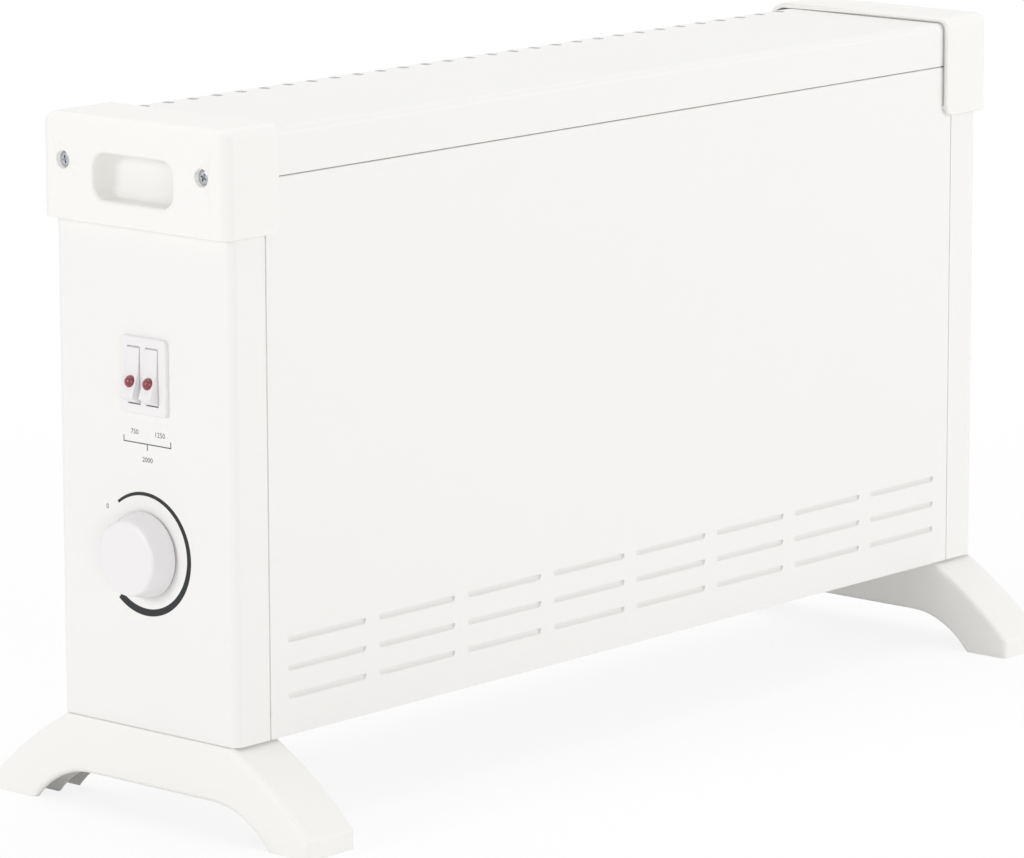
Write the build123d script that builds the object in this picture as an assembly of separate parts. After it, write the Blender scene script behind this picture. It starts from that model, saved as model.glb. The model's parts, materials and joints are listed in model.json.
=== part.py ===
from build123d import *
import math
import os

# Free-standing convector heater: a folded sheet-steel casing on two moulded arched feet,
# moulded end caps with a finger recess, and a twin rocker switch and a room thermostat
# on the control end. Cold air enters low at the front, back and base, passes two finned
# elements and leaves by a row of slots that wraps the rear top edge.
# Millimetres. X runs along the heater with the control end at -X, the front faces -Y,
# +Z is up. Everything is drawn about the middle of the casing and shifted at the end,
# because the thermostat knob stands out further than the far end cap.

# Overall sizes
cap_end = 300.0            # half the length over the end caps
side_face = 294.0          # half the length over the side panels
half_depth = 60.0          # half the depth of the casing
body_bottom = 47.6         # underside of the casing
body_top = 347.0           # top face of the casing
sheet = 0.8                # thickness of the casing sheet
over = 3.0                 # how far a cut runs past the sheet that it goes through
running = 0.05             # radial play of a shaft in its hole

# Folded casing
front_top_radius = 4.0     # bend along the front top edge
rear_top_radius = 9.0      # bend along the rear top edge
side_radius = 5.0          # upright bends of the side panels
fold_round = 0.5           # outside of a tight fold
seam = 270.6               # upright joint between side panel and front panel
seam_gap = 0.8             # width of that joint
groove_z = 323.5           # groove below the upper front band
groove_height = 1.5
rear_drop = 318.0          # lowest edge of the top cover at the back
panel_lip, cover_lip = 10.0, 8.0            # lips turned in along the panels and the cover
tab_reach, tab_root, tab_clear = 12.0, 6.0, 4.0   # spot-welded tabs behind the other panels
base_flange = 12.0         # height of the base panel's turned-up edge
panel_half = seam - seam_gap
inner_depth = half_depth - sheet
base_top = body_bottom + sheet              # inner face of the base panel

# Air slots
slot_columns, slot_pitch, slot_length, slot_height = 8, 65.6, 56.3, 1.7
slot_rows = (96.1, 82.0, 67.9)
outlet_count, outlet_pitch, outlet_width = 30, 17.1, 3.4
outlet_front, outlet_low = 42.0, 324.5      # where an outlet slot starts and ends
base_slot_columns, base_slot_rows = 6, (-36.0, -18.0, 18.0, 36.0)
base_slot_length, base_slot_width, base_slot_pitch = 50.0, 5.0, 63.0

# Screws
screw_radius, screw_hole_radius = 1.95, 2.1
screw_head_radius, screw_head, screw_tip = 3.7, 2.4, 3.0
counterbore_radius = 4.5
long_screw, short_screw = 9.0, 6.0
rear_screw_x, rear_screw_heights = 264.0, (110.0, 198.0, 286.0)

# End caps
cap_inner = 262.5          # inner edge of a cap
cap_half_depth = 63.0
cap_bottom, cap_top = 296.5, 350.0
cap_wall, cap_rib = 2.4, 1.8
cap_play = 0.2             # gap between cap and casing
cap_corner, cap_top_round, cap_low_corner, cap_low_round = 7.0, 4.5, 6.0, 1.2
cap_rib_y, cap_boss_radius = 34.0, 6.5
recess_z = 320.0           # finger recess
recess_width, recess_height, recess_depth, recess_radius = 54.0, 23.0, 25.0, 7.5
recess_floor_radius, recess_mouth_round, recess_clear = 7.0, 2.0, 0.6
cap_screw_y, cap_screw_z, cap_counterbore = 47.0, 326.0, 3.4

# Feet
foot_inner, foot_outer = 261.5, 295.0
foot_top = 47.0
foot_seat = 57.0           # half length of the flat top under the casing
foot_shoulder = (85.0, 30.7)                # a point on the curve from the seat to the toe
toe_end, toe_height, toe_inner = 106.6, 13.0, 80.0
arch_flat, arch_height = 42.0, 18.2
foot_wall, foot_rib, foot_round = 2.6, 1.8, 3.0
foot_rib_places = (-92.0, -60.0, 0.0, 60.0, 92.0)
foot_boss_radius, foot_boss_low = 6.0, 26.0
foot_screw_x, foot_screw_y, foot_screw_floor = 278.0, 30.0, 6.0
foot_key_half, foot_key_inset = 50.0, 3.0   # low pad that the base panel sits on

# Twin rocker switch
switch_y, switch_z = -1.0, 224.3
bezel_width, bezel_height, bezel_thickness = 33.0, 38.0, 2.4
bezel_corner, bezel_round = 2.5, 0.9
switch_body_width, switch_body_height, switch_back = 27.4, 36.0, 272.0
switch_room_back = 284.0   # floor of the room that the rockers move in
switch_mouth = 15.95       # half height of the opening in the bezel's rim
bezel_rim = 1.6            # thickness of that rim
rocker_width, rocker_pitch, rocker_play = 11.6, 12.1, 0.35
rocker_pivot = side_face - 3.0              # pivot line, 3 mm behind the side panel's face
rocker_tilt = 12.35        # a rocker leans this far either way
rocker_half, rocker_ridge, rocker_edge = 14.0, 7.0, 8.5
rocker_skirt = math.hypot(rocker_half, rocker_edge)
rocker_pin_radius, rocker_pin_seat = 1.0, 1.2
lens_radius, lens_height, lens_stem, lens_drop = 3.1, 1.9, 2.5, 4.4

# Thermostat
knob_z = 135.6
knob_base, knob_face = 21.3, 18.4           # radii at the flange and at the face
knob_gap, knob_height, knob_wall = 1.4, 14.5, 1.9
knob_flange, knob_nose = 1.6, 2.2
hub_radius = 6.0
shaft_radius, shaft_flat = 3.0, 2.1
dial_start = 52.0          # pointer's first position, above the horizontal towards the back
neck_radius = 5.0          # threaded neck that the nut clamps
bracket_sheet, bracket_half = 1.2, 17.0
carrier_front, carrier_back = 274.0, 264.0  # faces of the ceramic carrier
strip_y, strip_rivet_z = 9.5, -16.5         # bimetal strip and its rivet
arm_y, contact_z = -10.0, 14.0              # contact arm and the contacts
tab_width, tab_sheet = 6.3, 0.8             # push-on connector blades

# Heating
partition_x = 196.4        # inner faces of the two upright partitions
partition_top, partition_flange = 338.0, 11.0
element_heights = (100.0, 152.0)
element_half = 188.0
fin_tube, fin_arm, fin_short, fin_sheet = 8.0, 38.0, 20.0, 1.8
fin_angles = (24, 156, 204, 336)
rod_radius, pin_radius = 4.0, 2.0
bush_radius, bush_flange = 8.0, 11.0
deflector_front, deflector_back, deflector_low, deflector_bend = -50.0, 30.0, 236.0, 42.0
deflector_sheet = 0.6
cutout_y, cutout_z, cutout_screw_y = -24.0, 232.0, 11.9
cutout_radius, cutout_nose, cutout_screw_radius = 8.0, 7.5, 1.5
wire_hole_y, wire_hole_z, wire_hole_radius = 40.0, 75.0, 4.0

# Mains connection
inlet_x, inlet_z, inlet_bore, inlet_hole = -234.0, 76.0, 4.0, 7.5
bush_face, bush_face_radius, bush_reach = 3.0, 10.0, 10.0
terminal_x, terminal_pitch, terminal_count = -262.0, 11.0, 3
terminal_front, terminal_back, terminal_height, terminal_axis = 2.0, 20.0, 15.0, 7.0
clamp_screw_places = (6.5, 15.5)


# Small helpers

def block(x0, x1, y0, y1, z0, z1):
    return Pos((x0 + x1) / 2, (y0 + y1) / 2, (z0 + z1) / 2) * Box(x1 - x0, y1 - y0, z1 - z0)


def rod_x(x0, x1, y, z, radius):
    return Pos((x0 + x1) / 2, y, z) * Rot(0, 90, 0) * Cylinder(radius, x1 - x0)


def rod_y(x, y0, y1, z, radius):
    return Pos(x, (y0 + y1) / 2, z) * Rot(90, 0, 0) * Cylinder(radius, y1 - y0)


def rod_z(x, y, z0, z1, radius):
    return Pos(x, y, (z0 + z1) / 2) * Cylinder(radius, z1 - z0)


def along_x(sketch, x0, x1):
    return extrude(Plane.YZ.offset(x0) * sketch, amount=x1 - x0)


def along_y(sketch, y0, y1):
    return extrude(Plane.XZ.offset(-y1) * sketch, amount=y1 - y0)


def along_z(sketch, z0, z1):
    return extrude(Pos(0, 0, z0) * sketch, amount=z1 - z0)


def pick(items, test):
    return [item for item in items if test(item.center())]


def both_halves(half):
    return half + mirror(half, about=Plane.YZ)


# The casing's own outline, drawn in by an inset

def body_length(inset, x0, x1):
    back, top, low = half_depth - inset, body_top - inset, body_bottom - over
    section = Pos(0, (top + low) / 2) * Rectangle(2 * back, top - low)
    front_corner = section.vertices().group_by(Axis.Y)[-1].sort_by(Axis.X)[0]
    section = fillet(front_corner, front_top_radius - inset)
    rear_corner = section.vertices().group_by(Axis.Y)[-1].sort_by(Axis.X)[-1]
    section = fillet(rear_corner, rear_top_radius - inset)
    return along_x(section, x0, x1)


def body_end(inset, x0):
    x1 = side_face - inset
    plan = Pos((x0 + x1) / 2, 0) * Rectangle(x1 - x0, 2 * (half_depth - inset))
    plan = fillet(plan.vertices().group_by(Axis.X)[-1], side_radius - inset)
    return body_length(inset, x0, x1) & along_z(plan, 0, body_top + over)


def slot_pattern(columns, rows, pitch, length, height, skip=0):
    first = -(columns - 1) / 2
    places = [Pos((first + i) * pitch, row) for i in range(skip, columns) for row in rows]
    return Sketch() + [place * SlotOverall(length, height) for place in places]


# Casing

def front_panel():
    top = groove_z - groove_height / 2
    panel = block(-panel_half, panel_half, -half_depth, -inner_depth, body_bottom, top)
    panel += block(-panel_half, panel_half, -half_depth, panel_lip - half_depth, top - sheet, top)
    panel = fillet(pick(panel.edges(), lambda c: c.Y < 0.01 - half_depth), fold_round)
    slots = slot_pattern(slot_columns, slot_rows, slot_pitch, slot_length, slot_height)
    return panel - along_y(slots, -half_depth - over, -inner_depth + over)


def outlet_slot(x):
    # One slot, round at both ends, that starts on the top face and ends on the back.
    half = outlet_width / 2
    slot = block(x - half, x + half, outlet_front + half, half_depth + over,
                 outlet_low + half, body_top + over)
    slot += rod_z(x, outlet_front + half, body_top - over, body_top + over, half)
    return slot + rod_y(x, half_depth - over, half_depth + over, outlet_low + half, half)


def top_cover():
    shell = body_length(0, -panel_half, panel_half) - body_length(sheet, -seam - over, seam + over)
    band = groove_z + groove_height / 2
    keep = block(-seam, seam, -half_depth - over, 0, band, body_top + over)
    keep += block(-seam, seam, 0, half_depth + over, rear_drop, body_top + over)
    cover = shell & keep
    cover += block(-panel_half, panel_half, -half_depth, cover_lip - half_depth, band, band + sheet)
    cover += block(-panel_half, panel_half, half_depth - cover_lip, half_depth,
                   rear_drop, rear_drop + sheet)
    low_edge = pick(cover.edges(), lambda c: abs(c.Z - band) < 0.01 and c.Y < 0.01 - half_depth)
    cover = fillet(low_edge, fold_round)
    for i in range(outlet_count):
        cover -= outlet_slot((i - (outlet_count - 1) / 2) * outlet_pitch)
    return cover


def rear_screw_places():
    return [(side * rear_screw_x, z) for side in (-1, 1) for z in rear_screw_heights]


def rear_panel():
    top = rear_drop - groove_height
    panel = block(-panel_half, panel_half, inner_depth, half_depth, body_bottom, top)
    panel += block(-panel_half, panel_half, half_depth - panel_lip, half_depth, top - sheet, top)
    slots = slot_pattern(slot_columns, slot_rows, slot_pitch, slot_length, slot_height, skip=1)
    panel -= along_y(slots, inner_depth - over, half_depth + over)
    for x, z in rear_screw_places():
        panel -= rod_y(x, half_depth - over, half_depth + over, z, screw_hole_radius)
    return panel - rod_y(inlet_x, half_depth - over, half_depth + over, inlet_z, inlet_hole)


def base_tray(inset, z0, z1):
    plan = Rectangle(2 * (side_face - inset), 2 * (half_depth - inset))
    return along_z(fillet(plan.vertices(), side_radius - inset), z0, z1)


def base_panel():
    base = base_tray(sheet, body_bottom, body_bottom + base_flange)
    base -= base_tray(2 * sheet, base_top, base_top + base_flange)
    slots = slot_pattern(base_slot_columns, base_slot_rows, base_slot_pitch,
                         base_slot_length, base_slot_width)
    base -= along_z(slots, body_bottom - over, body_bottom + over)
    for x in (-foot_screw_x, foot_screw_x):
        for y in (-foot_screw_y, foot_screw_y):
            base -= rod_z(x, y, body_bottom - over, body_bottom + over, screw_hole_radius)
    return base


def side_panel():
    # Drawn at the +X end: a deep pressing, open below and towards the middle, with
    # spot-welded tabs that the front, rear and top sheets lie on.
    panel = body_end(0, seam) - body_end(sheet, seam - over)
    panel &= block(0, cap_end, -half_depth - over, half_depth + over, body_bottom, body_top + over)
    tab_in, tab_out = seam - tab_reach, seam + tab_root
    low = body_bottom + base_flange + 1
    outer, inner = inner_depth, inner_depth - sheet
    panel += block(tab_in, tab_out, -outer, -inner, low, groove_z - tab_clear)
    panel += block(tab_in, tab_out, inner, outer, low, rear_drop - tab_clear)
    panel += block(tab_in, tab_out, -45, 36, body_top - 2 * sheet, body_top - sheet)
    around = cap_wall + recess_clear
    opening = RectangleRounded(recess_width + 2 * around, recess_height + 2 * around,
                               recess_radius + around)
    panel -= along_x(Pos(0, recess_z) * opening, side_face - over, side_face + over)
    for y in (-cap_screw_y, cap_screw_y):
        panel -= rod_x(side_face - over, side_face + over, y, cap_screw_z, screw_hole_radius)
    for z in rear_screw_heights:
        panel -= rod_y(rear_screw_x, half_depth - 2 * over, half_depth + over, z, screw_hole_radius)
    return panel


def control_side_panel():
    panel = mirror(side_panel(), about=Plane.YZ)
    play = 0.3
    cutout = Rectangle(switch_body_width + 2 * play, switch_body_height + 2 * play)
    panel -= along_x(Pos(switch_y, switch_z) * cutout, -side_face - over, -side_face + over)
    return panel - rod_x(-side_face - over, -side_face + over, 0, knob_z, neck_radius + 0.1)


# End caps

def finger_recess(wall, mouth):
    # The pocket that the fingers reach into, or its outer skin when a wall is given.
    shape = RectangleRounded(recess_width + 2 * wall, recess_height + 2 * wall, recess_radius + wall)
    floor = cap_end - recess_depth - wall
    pocket = along_x(Pos(0, recess_z) * shape, floor, cap_end + mouth)
    return fillet(pocket.edges().group_by(Axis.X)[0], recess_floor_radius + wall)


def cap_shell():
    # The cap's outside, rounded, before anything is taken out of it.
    x_mid, x_size = (cap_inner + cap_end) / 2, cap_end - cap_inner
    plan = Pos(x_mid, 0) * Rectangle(x_size, 2 * cap_half_depth)
    plan = fillet(plan.vertices().group_by(Axis.X)[-1], cap_corner)
    cap = along_z(plan, cap_bottom, cap_top)
    cap = fillet(pick(cap.edges(), lambda c: c.Z > cap_top - 0.01 and c.X > cap_inner + 1), cap_top_round)
    high = cap_top + 20
    side = Pos(x_mid, (cap_bottom + high) / 2) * Rectangle(x_size, high - cap_bottom)
    low_inner = side.vertices().group_by(Axis.Y)[0].sort_by(Axis.X)[0]
    side = fillet(low_inner, cap_low_corner)
    cap &= along_y(side, -cap_half_depth - 1, cap_half_depth + 1)
    low = pick(cap.edges(), lambda c: c.Z < cap_bottom + 0.01 and c.X > cap_inner + 8)
    return fillet(low, cap_low_round)


def end_cap():
    # Drawn at the +X end. The shell hugs the casing and closes its end and top corners;
    # inside, ribs and screw bosses stand on the casing's end.
    cap = cap_shell() - body_end(-cap_play, cap_inner - over)
    floor = side_face + cap_play
    hollow = block(floor - 0.1, cap_end - cap_wall, 6 - cap_half_depth, cap_half_depth - 6,
                   cap_bottom + 4, cap_top - 6)
    for side in (-1, 1):
        hollow -= rod_x(floor - 1, cap_end, side * cap_screw_y, cap_screw_z, cap_boss_radius)
        rib_y = side * cap_rib_y
        hollow -= block(floor - 1, cap_end, rib_y - cap_rib / 2, rib_y + cap_rib / 2, cap_bottom, cap_top)
    cap -= hollow
    cap += finger_recess(cap_wall, -1.0)
    cap -= finger_recess(0, 1.0)
    mouth = pick(cap.edges(), lambda c: c.X > cap_end - 0.01 and abs(c.Y) < recess_width / 2 + 1
                 and abs(c.Z - recess_z) < recess_height / 2 + 1)
    cap = fillet(mouth, recess_mouth_round)
    for y in (-cap_screw_y, cap_screw_y):
        cap -= rod_x(floor - 1, cap_end, y, cap_screw_z, screw_hole_radius)
        cap -= rod_x(cap_end - cap_counterbore, cap_end + 1, y, cap_screw_z, counterbore_radius)
    return cap


# Feet

def foot_upper():
    # All that lies under the upper edge of an arched foot, seen along the heater.
    shoulder = ThreePointArc((foot_seat, foot_top), foot_shoulder, (toe_end, toe_height))
    rim = Polyline((toe_end, toe_height), (toe_end, -20), (-toe_end, -20), (-toe_end, toe_height))
    seat = Line((foot_seat, foot_top), (-foot_seat, foot_top))
    return make_face(shoulder + rim + mirror(shoulder, about=Plane.YZ) + seat)


def foot_arch():
    # The open space below the foot, between its toes.
    run = toe_inner - arch_flat
    radius = (run * run + arch_height * arch_height) / (2 * arch_height)
    lean = math.asin(run / radius) / 2
    middle = (arch_flat + radius * math.sin(lean), arch_height - radius * (1 - math.cos(lean)))
    side = ThreePointArc((toe_inner, 0), middle, (arch_flat, arch_height))
    rest = Polyline((arch_flat, arch_height), (0, arch_height), (0, -30), (toe_inner, -30), (toe_inner, 0))
    return both_halves(make_face(side + rest))


def foot():
    # Drawn at the +X end: a channel moulding, open below, ribbed and bossed inside.
    outline = foot_upper() & (Pos(0, foot_top) * Rectangle(2 * toe_end + 2, 2 * foot_top))
    solid = along_x(outline - foot_arch(), foot_inner, foot_outer)
    rounded = pick(solid.edges(), lambda c: c.Z > toe_height - 1 and abs(c.Y) > foot_seat)
    rounded += pick(solid.edges(), lambda c: abs(abs(c.Y) - toe_end) < 0.01 and 1 < c.Z < toe_height - 1)
    solid = fillet(rounded, foot_round)
    hollow = along_x(offset(foot_upper(), amount=-foot_wall, kind=Kind.INTERSECTION),
                     foot_inner + foot_wall, foot_outer - foot_wall)
    middle = (foot_inner + foot_outer) / 2
    ribs = block(middle - foot_rib / 2, middle + foot_rib / 2, -toe_end, toe_end, 0, foot_top)
    for y in foot_rib_places:
        ribs += block(foot_inner, foot_outer, y - foot_rib / 2, y + foot_rib / 2, 0, foot_top)
    for y in (-foot_screw_y, foot_screw_y):
        ribs += rod_z(foot_screw_x, y, foot_boss_low, foot_top, foot_boss_radius)
    solid -= hollow - ribs
    solid += block(foot_inner + foot_key_inset, foot_outer - foot_key_inset,
                   -foot_key_half, foot_key_half, foot_top - 1, body_bottom)
    for y in (-foot_screw_y, foot_screw_y):
        solid -= rod_z(foot_screw_x, y, -1, body_bottom + 1, screw_hole_radius)
        solid -= rod_z(foot_screw_x, y, -1, foot_top - foot_screw_floor, counterbore_radius)
    return solid


# Fasteners

def pan_screw(length):
    # Head on the origin's +Z side, shank downwards to a point.
    head = Cylinder(screw_head_radius, screw_head, align=(Align.CENTER, Align.CENTER, Align.MIN))
    head = fillet(head.edges().group_by(Axis.Z)[-1], 1.4)
    shank = Pos(0, 0, -length / 2) * Cylinder(screw_radius, length)
    tip = Pos(0, 0, -length - screw_tip / 2) * Cone(0.4, screw_radius, screw_tip)
    return head + shank + tip


def end_cap_screws():
    places = [Pos(side * (cap_end - cap_counterbore), y, cap_screw_z) * Rot(0, side * 90, 0)
              for side in (-1, 1) for y in (-cap_screw_y, cap_screw_y)]
    return Compound([place * pan_screw(long_screw) for place in places])


def foot_screws():
    places = [Pos(x, y, foot_top - foot_screw_floor) * Rot(180, 0, 0)
              for x in (-foot_screw_x, foot_screw_x) for y in (-foot_screw_y, foot_screw_y)]
    return Compound([place * pan_screw(long_screw) for place in places])


def rear_panel_screws():
    return Compound([Pos(x, half_depth, z) * Rot(-90, 0, 0) * pan_screw(short_screw)
                     for x, z in rear_screw_places()])


# Twin rocker switch

def switch_housing():
    # Bezel and body in one moulding, with the rockers' room open at the front.
    front = -side_face - bezel_thickness
    face = Pos(switch_y, switch_z) * RectangleRounded(bezel_width, bezel_height, bezel_corner)
    bezel = along_x(face, front, -side_face)
    bezel = fillet(bezel.edges().group_by(Axis.X)[0], bezel_round)
    body = Pos(switch_y, switch_z) * Rectangle(switch_body_width, switch_body_height)
    housing = bezel + along_x(body, -side_face, -switch_back)
    room_width = rocker_pitch + rocker_width + 2 * rocker_play
    mouth = Pos(switch_y, switch_z) * Rectangle(room_width, 2 * switch_mouth)
    room = Pos(switch_y, switch_z) * Rectangle(room_width, 2 * (rocker_skirt + 0.4))
    housing -= along_x(mouth, front - 1, -switch_room_back)
    housing -= along_x(room, front + bezel_rim, -switch_room_back)
    reach = room_width / 2 + rocker_pin_seat
    return housing - rod_y(-rocker_pivot, switch_y - reach, switch_y + reach, switch_z,
                           rocker_pin_radius + 0.02)


def rocker_pin():
    reach = (rocker_pitch + rocker_width) / 2 + rocker_play + rocker_pin_seat - 0.1
    return rod_y(-rocker_pivot, switch_y - reach, switch_y + reach, switch_z, rocker_pin_radius)


def rocker_place(offset_y):
    return Pos(-rocker_pivot, switch_y + offset_y, switch_z) * Rot(0, rocker_tilt, 0)


def lens_place():
    lean = math.degrees(math.atan2(rocker_edge - rocker_ridge, rocker_half))
    x = -rocker_ridge - lens_drop * math.tan(math.radians(lean))
    return Pos(x, 0, -lens_drop) * Rot(0, lean, 0)


def rocker(offset_y):
    # Seen from the side a shallow V, its ends round about the pivot, hollow behind.
    skirt_x, bulge_x, heel_x, keel_x, keel = -1.0, -5.0, 0.5, 3.0, 5.0
    depth = math.sqrt(rocker_skirt ** 2 - skirt_x ** 2)
    bulge = math.sqrt(rocker_skirt ** 2 - bulge_x ** 2)
    face = Polyline((-rocker_edge, rocker_half), (-rocker_ridge, 0), (-rocker_edge, -rocker_half))
    low = ThreePointArc((-rocker_edge, -rocker_half), (bulge_x, -bulge), (skirt_x, -depth))
    back = Polyline((skirt_x, -depth), (heel_x, 1.5 - depth), (keel_x, -keel), (keel_x, keel),
                    (heel_x, depth - 1.5), (skirt_x, depth))
    high = ThreePointArc((skirt_x, depth), (bulge_x, bulge), (-rocker_edge, rocker_half))
    half = rocker_width / 2
    body = along_y(make_face(face + low + back + high), -half, half)
    sides = pick(body.edges(), lambda c: c.X < 0.1 - rocker_ridge and abs(c.Y) > half - 0.1)
    body = fillet(sides, 0.5)
    wall, web, pocket_end = 1.2, 2.4, 12.5
    for low_z, high_z in ((-pocket_end, -web), (web, pocket_end)):
        body -= block(-4.5, keel_x + 1, wall - half, half - wall, low_z, high_z)
    body -= rod_y(0, -half - 1, half + 1, 0, rocker_pin_radius + running)
    body -= lens_place() * rod_x(-1, 6, 0, 0, lens_stem + running)
    return rocker_place(offset_y) * body


def neon_lens(offset_y):
    # A domed jewel with a stem that presses into the rocker.
    ball = (lens_radius ** 2 + lens_height ** 2) / (2 * lens_height)
    dome = Pos(ball - lens_height, 0, 0) * Sphere(ball)
    dome &= block(-lens_height - 1, 0, -5, 5, -5, 5)
    return rocker_place(offset_y) * lens_place() * (dome + rod_x(-0.1, 2.6, 0, 0, lens_stem))


def switch_terminals():
    blades = []
    for y in (-rocker_pitch / 2, rocker_pitch / 2):
        for z in (-11.0, 0.0, 11.0):
            blades.append(block(-switch_back, 9 - switch_back, switch_y + y - tab_sheet / 2,
                                switch_y + y + tab_sheet / 2, switch_z + z - 2.4, switch_z + z + 2.4))
    return Compound(blades)


# Thermostat, each piece drawn about the shaft's line

def d_bore(x0, x1):
    play = 0.02
    return (rod_x(x0, x1, 0, 0, shaft_radius + play)
            & block(x0 - 1, x1 + 1, -5, 5, -5, shaft_flat + play))


def thermostat_knob():
    # A hollow cup with a flange at its root, a keyed hub, six ribs and a raised pointer.
    root = -side_face - knob_gap
    tip = -side_face - knob_height
    flange = root - knob_flange
    outline = Polyline((root, 0), (root, knob_base), (flange, knob_base),
                       (flange - 0.8, knob_base - 0.7), (tip, knob_face), (tip, 0), (root, 0))
    section = make_face(outline)
    nose = section.vertices().group_by(Axis.X)[0].sort_by(Axis.Y)[-1]
    knob = revolve(fillet(nose, knob_nose), Axis.X)
    roof = tip + knob_nose
    cavity = Polyline((root + 1, 0), (root + 1, knob_base - knob_wall), (flange, knob_base - knob_wall),
                      (roof, knob_face - knob_wall - 0.8), (roof, 0), (root + 1, 0))
    knob -= revolve(make_face(cavity), Axis.X)
    hub_end = -side_face - 5.4
    knob += rod_x(roof - 0.2, hub_end, 0, 0, hub_radius)
    reach = knob_face - knob_wall - 0.2
    for turn in (0, 60, 120):
        knob += Rot(turn, 0, 0) * block(roof - 0.2, hub_end, -reach, reach, -0.7, 0.7)
    knob -= d_bore(roof + 0.6, hub_end + 1)
    pointer = block(tip + 1, root, knob_face + 0.2, knob_base + 0.5, -0.8, 0.8)
    pointer &= rod_x(tip, root, 0, 0, knob_base + 0.5)
    return Pos(0, 0, knob_z) * (knob + Rot(dial_start, 0, 0) * pointer)


def thermostat_shaft():
    tip, inner = -side_face - 11.6, -268.5
    shaft = rod_x(tip, inner, 0, 0, shaft_radius)
    shaft -= block(tip - 1, -side_face - 5.2, -5, 5, shaft_flat, 5)
    return Pos(0, 0, knob_z) * (shaft + rod_x(-284.5, -281.5, 0, 0, 6.5))


def thermostat_frame():
    # A folded steel bracket behind the panel, with the neck that the nut clamps.
    back = -side_face + sheet
    frame = block(back, back + bracket_sheet, -bracket_half, bracket_half, -22, 22)
    for y in (-bracket_half, bracket_half - bracket_sheet):
        frame += block(back, -carrier_back, y, y + bracket_sheet, -11, 11)
    frame += rod_x(-side_face - 5, back, 0, 0, neck_radius)
    return Pos(0, 0, knob_z) * (frame - rod_x(-side_face - 6, back + 2, 0, 0, shaft_radius + running))


def thermostat_nut():
    nut = along_x(RegularPolygon(7.0, 6, major_radius=False), -side_face - 3, -side_face)
    return Pos(0, 0, knob_z) * (nut - rod_x(-side_face - 4, -side_face + 1, 0, 0, neck_radius + 0.02))


def thermostat_block():
    # Glazed ceramic carrier for the contacts, held between the bracket's arms.
    half = bracket_half - bracket_sheet
    body = block(-carrier_front, -carrier_back, -half, half, -20, 20)
    return Pos(0, 0, knob_z) * (body - rod_x(-carrier_front - 1, -carrier_back + 1, 0, 0, 4.5))


def thermostat_bimetal():
    strip = block(-carrier_front - 4.6, -carrier_front - 3.8, strip_y - 4, strip_y + 4, -20, 18)
    return Pos(0, 0, knob_z) * (strip + rod_x(-carrier_front - 4.6, -carrier_front, strip_y,
                                              strip_rivet_z, 1.6))


def thermostat_contacts():
    arm = block(-carrier_front - 2.6, -carrier_front - 2.2, arm_y - 3.5, arm_y + 3.5, -20, 18)
    arm += rod_x(-carrier_front - 2.6, -carrier_front, arm_y, strip_rivet_z, 1.6)
    arm += rod_x(-carrier_front - 2.2, -carrier_front - 0.9, arm_y, contact_z, 1.8)
    fixed = rod_x(-carrier_front - 0.8, -carrier_front, arm_y, contact_z, 1.8)
    blades = [block(-carrier_back, 9 - carrier_back, y - tab_width / 2, y + tab_width / 2,
                    z - tab_sheet / 2, z + tab_sheet / 2)
              for y, z in ((strip_y, strip_rivet_z), (arm_y, contact_z))]
    return Pos(0, 0, knob_z) * Compound([arm, fixed] + blades)


# Heating parts

def partition():
    # Drawn at the +X side: a flanged wall that fences the elements off from the casing's end.
    x0, x1 = partition_x, partition_x + sheet
    clear_flange = body_bottom + base_flange + 0.6
    clear_lip = half_depth - panel_lip - 0.5
    shoulder = rear_drop - 6
    wall = block(x0, x1, sheet - inner_depth, inner_depth - sheet, base_top, clear_flange + 1)
    wall += block(x0, x1, -clear_lip, clear_lip, clear_flange, partition_top)
    wall += block(x0, x1, -inner_depth, inner_depth, clear_flange, shoulder)
    flange_low = slot_rows[0] + 10
    for y0, y1 in ((-inner_depth, sheet - inner_depth), (inner_depth - sheet, inner_depth)):
        wall += block(x0, x0 + partition_flange, y0, y1, flange_low, shoulder)
    wall += block(x0, x0 + partition_flange, -50, 50, base_top, base_top + sheet)
    for z in element_heights:
        wall -= rod_x(x0 - 1, x1 + 1, 0, z, bush_radius + running)
    return wall


def control_partition():
    wall = mirror(partition(), about=Plane.YZ)
    x0, x1 = -partition_x - 2, -partition_x + 1
    wall -= rod_x(x0, x1, cutout_y, cutout_z, cutout_nose + 0.3)
    for y in (-cutout_screw_y, cutout_screw_y):
        wall -= rod_x(x0, x1, cutout_y + y, cutout_z, cutout_screw_radius + running)
    return wall - rod_x(x0, x1, wire_hole_y, wire_hole_z, wire_hole_radius)


def outlet_deflector():
    # Bent sheet that turns the rising air towards the outlet and shields the front.
    depth, height = deflector_back - deflector_front, partition_top - deflector_low
    middle = Pos((deflector_front + deflector_back) / 2, (deflector_low + partition_top) / 2)
    outside = Rectangle(depth, height)
    corner = outside.vertices().group_by(Axis.Y)[-1].sort_by(Axis.X)[0]
    outside = middle * fillet(corner, deflector_bend)
    inside = offset(outside, amount=-deflector_sheet)
    inside += Pos(deflector_back, deflector_low + height / 2) * Rectangle(4, height + 4)
    inside += Pos(deflector_front + depth / 2, deflector_low) * Rectangle(depth + 4, 4)
    bend = outside & inside
    return along_x(outside - bend, -partition_x, partition_x)


def element_fins(z):
    # Extruded aluminium: a tube round the rod with four long arms and two short ones.
    section = Circle(fin_tube)
    arms = [(angle, fin_arm) for angle in fin_angles] + [(90, fin_short), (270, fin_short)]
    for angle, length in arms:
        section += Rot(0, 0, angle) * Pos(length / 2, 0) * Rectangle(length, fin_sheet)
    for angle in fin_angles:
        for reach in (20.0, 30.0):
            section += Rot(0, 0, angle) * Pos(reach, 0) * Rectangle(1.4, 9.0)
    section -= Circle(rod_radius + running)
    return along_x(Pos(0, z) * section, -element_half, element_half)


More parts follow.
